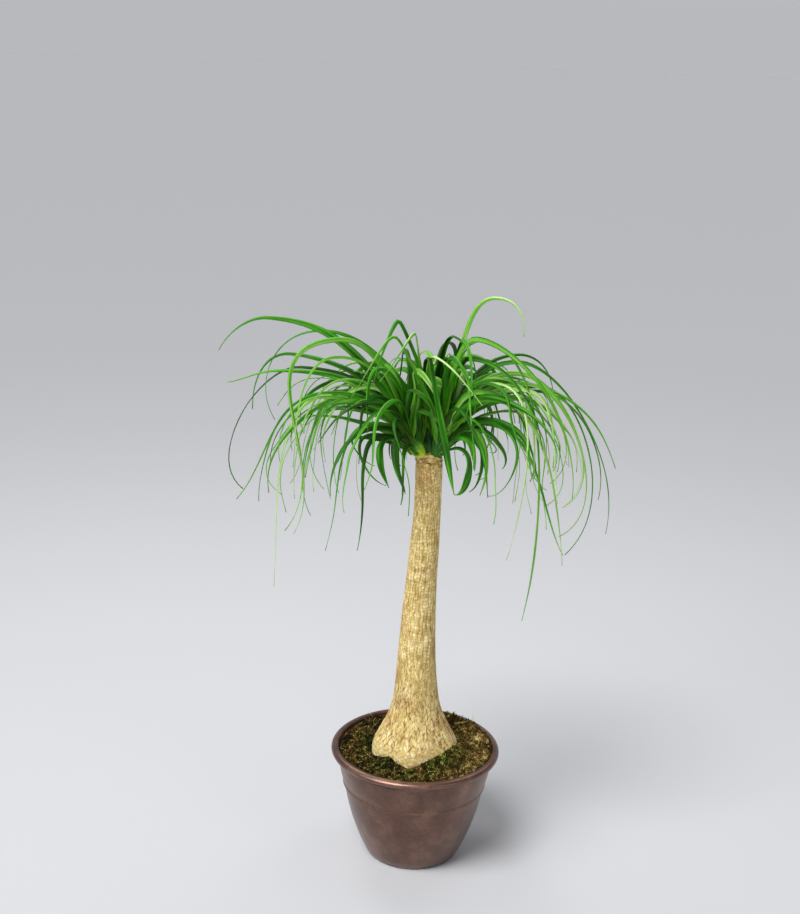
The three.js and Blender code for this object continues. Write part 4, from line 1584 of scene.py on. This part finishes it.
    def build(self) -> list[bpy.types.Object]:
        """Builds and dresses the whole crown.

        Returns:
            Its pieces.
        """
        upper = LeafBlade().build()
        lower = LeafBlade(name="palm_leaf_lower", roughness=0.52, stops=(
            (0.0, "#042a02"), (0.2, "#105602"), (0.42, "#34880e"), (0.7, "#72aa3e"),
            (1.0, "#bcda94"))).build()
        sheaths = SheathBase().build()
        leaves = list(enumerate(self.leaves()))
        pieces = [self.callus(bpy.data.materials[CorkBark().name])]
        for head in Head:
            pieces.append(self.club(head, sheaths))
            own = [(order, leaf) for order, leaf in leaves if leaf.head is head]
            pieces.append(self.straps(head, own, [upper, lower]))
        return pieces


@dataclass(frozen=True)
class Softbox:
    """A soft square lamp: where it hangs, its watts, and its width and height in metres."""

    name: str
    place: Point
    power: float
    size: tuple[float, float] = (0.7, 1.3)


@dataclass
class Studio:
    """The pale floor, the soft lights and the camera. Metres and degrees."""

    camera_place: Point = (0.0, -2.2, 1.33475)
    pitch: float = 16.329
    yaw: float = -1.066
    roll: float = -1.853
    focal_pixels: float = 1453.9
    frame_height_pixels: float = 914.0
    sensor: float = 36.0
    floor_radius: float = 60.0
    floor_gap: float = 0.0002
    middle: Point = (0.0, 0.0, 0.5)
    overhead_place: Point = (-0.8, -1.1, 2.7)
    overhead_power: float = 2.65
    overhead_spread: float = 28.0
    softboxes: tuple[Softbox, ...] = (
        Softbox("left_softbox", (-1.9, -1.4, 2.3), 34.0, (1.5, 0.8)),
        Softbox("right_softbox", (1.7, -1.4, 1.2), 5.0),
        Softbox("front_softbox", (0.2, -2.5, 1.0), 7.0),
        Softbox("back_left_softbox", (-0.75, 1.0, 2.1), 11.0),
        Softbox("back_right_softbox", (0.9, 0.9, 2.0), 6.0))

    def camera(self) -> None:
        """Places the camera as the photograph was taken, rolled a little, so that the plant leans right."""
        pitch, yaw, roll = (math.radians(a) for a in (self.pitch, self.yaw, self.roll))
        ahead = Vector((math.sin(yaw) * math.cos(pitch), math.cos(yaw) * math.cos(pitch), -math.sin(pitch)))
        level = Vector((math.cos(yaw), -math.sin(yaw), 0))
        raised = level.cross(ahead)
        right = level * math.cos(roll) - raised * math.sin(roll)
        top = level * math.sin(roll) + raised * math.cos(roll)
        data = bpy.data.cameras.new("camera")
        data.sensor_width = self.sensor
        data.lens = self.focal_pixels * self.sensor / self.frame_height_pixels
        camera = bpy.data.objects.new("camera", data)
        turn = Matrix((right, top, -ahead)).transposed().to_4x4()
        camera.matrix_world = Matrix.Translation(self.camera_place) @ turn
        bpy.context.scene.collection.objects.link(camera)
        bpy.context.scene.camera = camera

    def lamp(self, name: str, kind: str, place: Point, power: float) -> bpy.types.Light:
        """Hangs a lamp that points at the plant's middle.

        Args:
            name: The lamp's name.
            kind: AREA or SUN.
            place: Where it hangs.
            power: Watts, or watts for each square metre for a sun.

        Returns:
            Its light data.
        """
        data = bpy.data.lights.new(name, kind)
        data.energy = power
        holder = bpy.data.objects.new(name, data)
        holder.location = place
        holder.rotation_euler = (Vector(self.middle) - Vector(place)).to_track_quat("-Z", "Y").to_euler()
        bpy.context.scene.collection.objects.link(holder)
        return data

    def sky(self) -> None:
        """Makes the pale grey room: as light as the floor at eye level, so that no edge shows."""
        world = bpy.data.worlds.new("studio")
        world.use_nodes = True
        nodes = Nodes(world.node_tree)
        direction = nodes.add("TexCoord", out="Generated")
        up = nodes.add("SeparateXYZ", links={0: direction}, out="Z")
        shade = nodes.add("ValToRGB", {"stops": [(0.0, "#b8b9bd"), (0.02, "#b8b9bd"), (0.12, "#c4c5c8"),
                                                 (0.4, "#8a8b8e"), (1.0, "#808184")]}, {"Fac": up})
        front = nodes.add("MapRange", {"interpolation_type": "SMOOTHSTEP", "From Min": 0.2, "From Max": -0.5,
                                       "To Max": 0.8}, {"Value": up.node.outputs["Y"]})
        above = nodes.add("MapRange", {"From Min": 0.12, "From Max": 0.3}, {"Value": up})
        dark = nodes.add("Math", {"operation": "MULTIPLY"}, {0: front, 1: above})
        room = nodes.add("Mix", {"data_type": "RGBA", 7: linear("#4a4a4c")}, {0: dark, 6: shade}, 2)
        nodes.tree.links.new(room, nodes.tree.nodes["Background"].inputs["Color"])
        bpy.context.scene.world = world

    def build(self) -> None:
        """Builds the floor, the lights and the camera."""
        builder = bmesh.new()
        bmesh.ops.create_circle(builder, cap_ends=True, segments=96, radius=self.floor_radius,
                                matrix=Matrix.Translation((0, 0, -self.floor_gap)))
        as_object(builder, "floor", StudioPaper().build())
        self.sky()
        sun = self.lamp("overhead_softbox", "SUN", self.overhead_place, self.overhead_power)
        sun.angle = math.radians(self.overhead_spread)
        for softbox in self.softboxes:
            light = self.lamp(softbox.name, "AREA", softbox.place, softbox.power)
            light.shape = "RECTANGLE"
            light.size, light.size_y = softbox.size
        self.camera()
        bpy.context.scene.view_settings.view_transform = "Standard"


def main() -> None:
    """Builds every piece in order and reports it."""
    logging.basicConfig(level=logging.INFO, format="%(name)s %(message)s")
    # Without a seed, vector noise takes its offsets from the clock and each run would differ.
    noise.seed_set(NOISE_SEED)
    studio = Studio()
    studio.build()
    pot = Pot()
    pot.build()
    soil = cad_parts["potting_mix"]
    soil.data.materials.clear()
    soil.data.materials.append(PeatMix().build())
    trunk = Trunk()
    trunk.build()
    MossTopping(trunk, pot).build()
    crown = LeafCrown(trunk)
    for piece in crown.build():
        log.info("crown piece %s", piece.name)


if __name__ == "__main__":
    main()
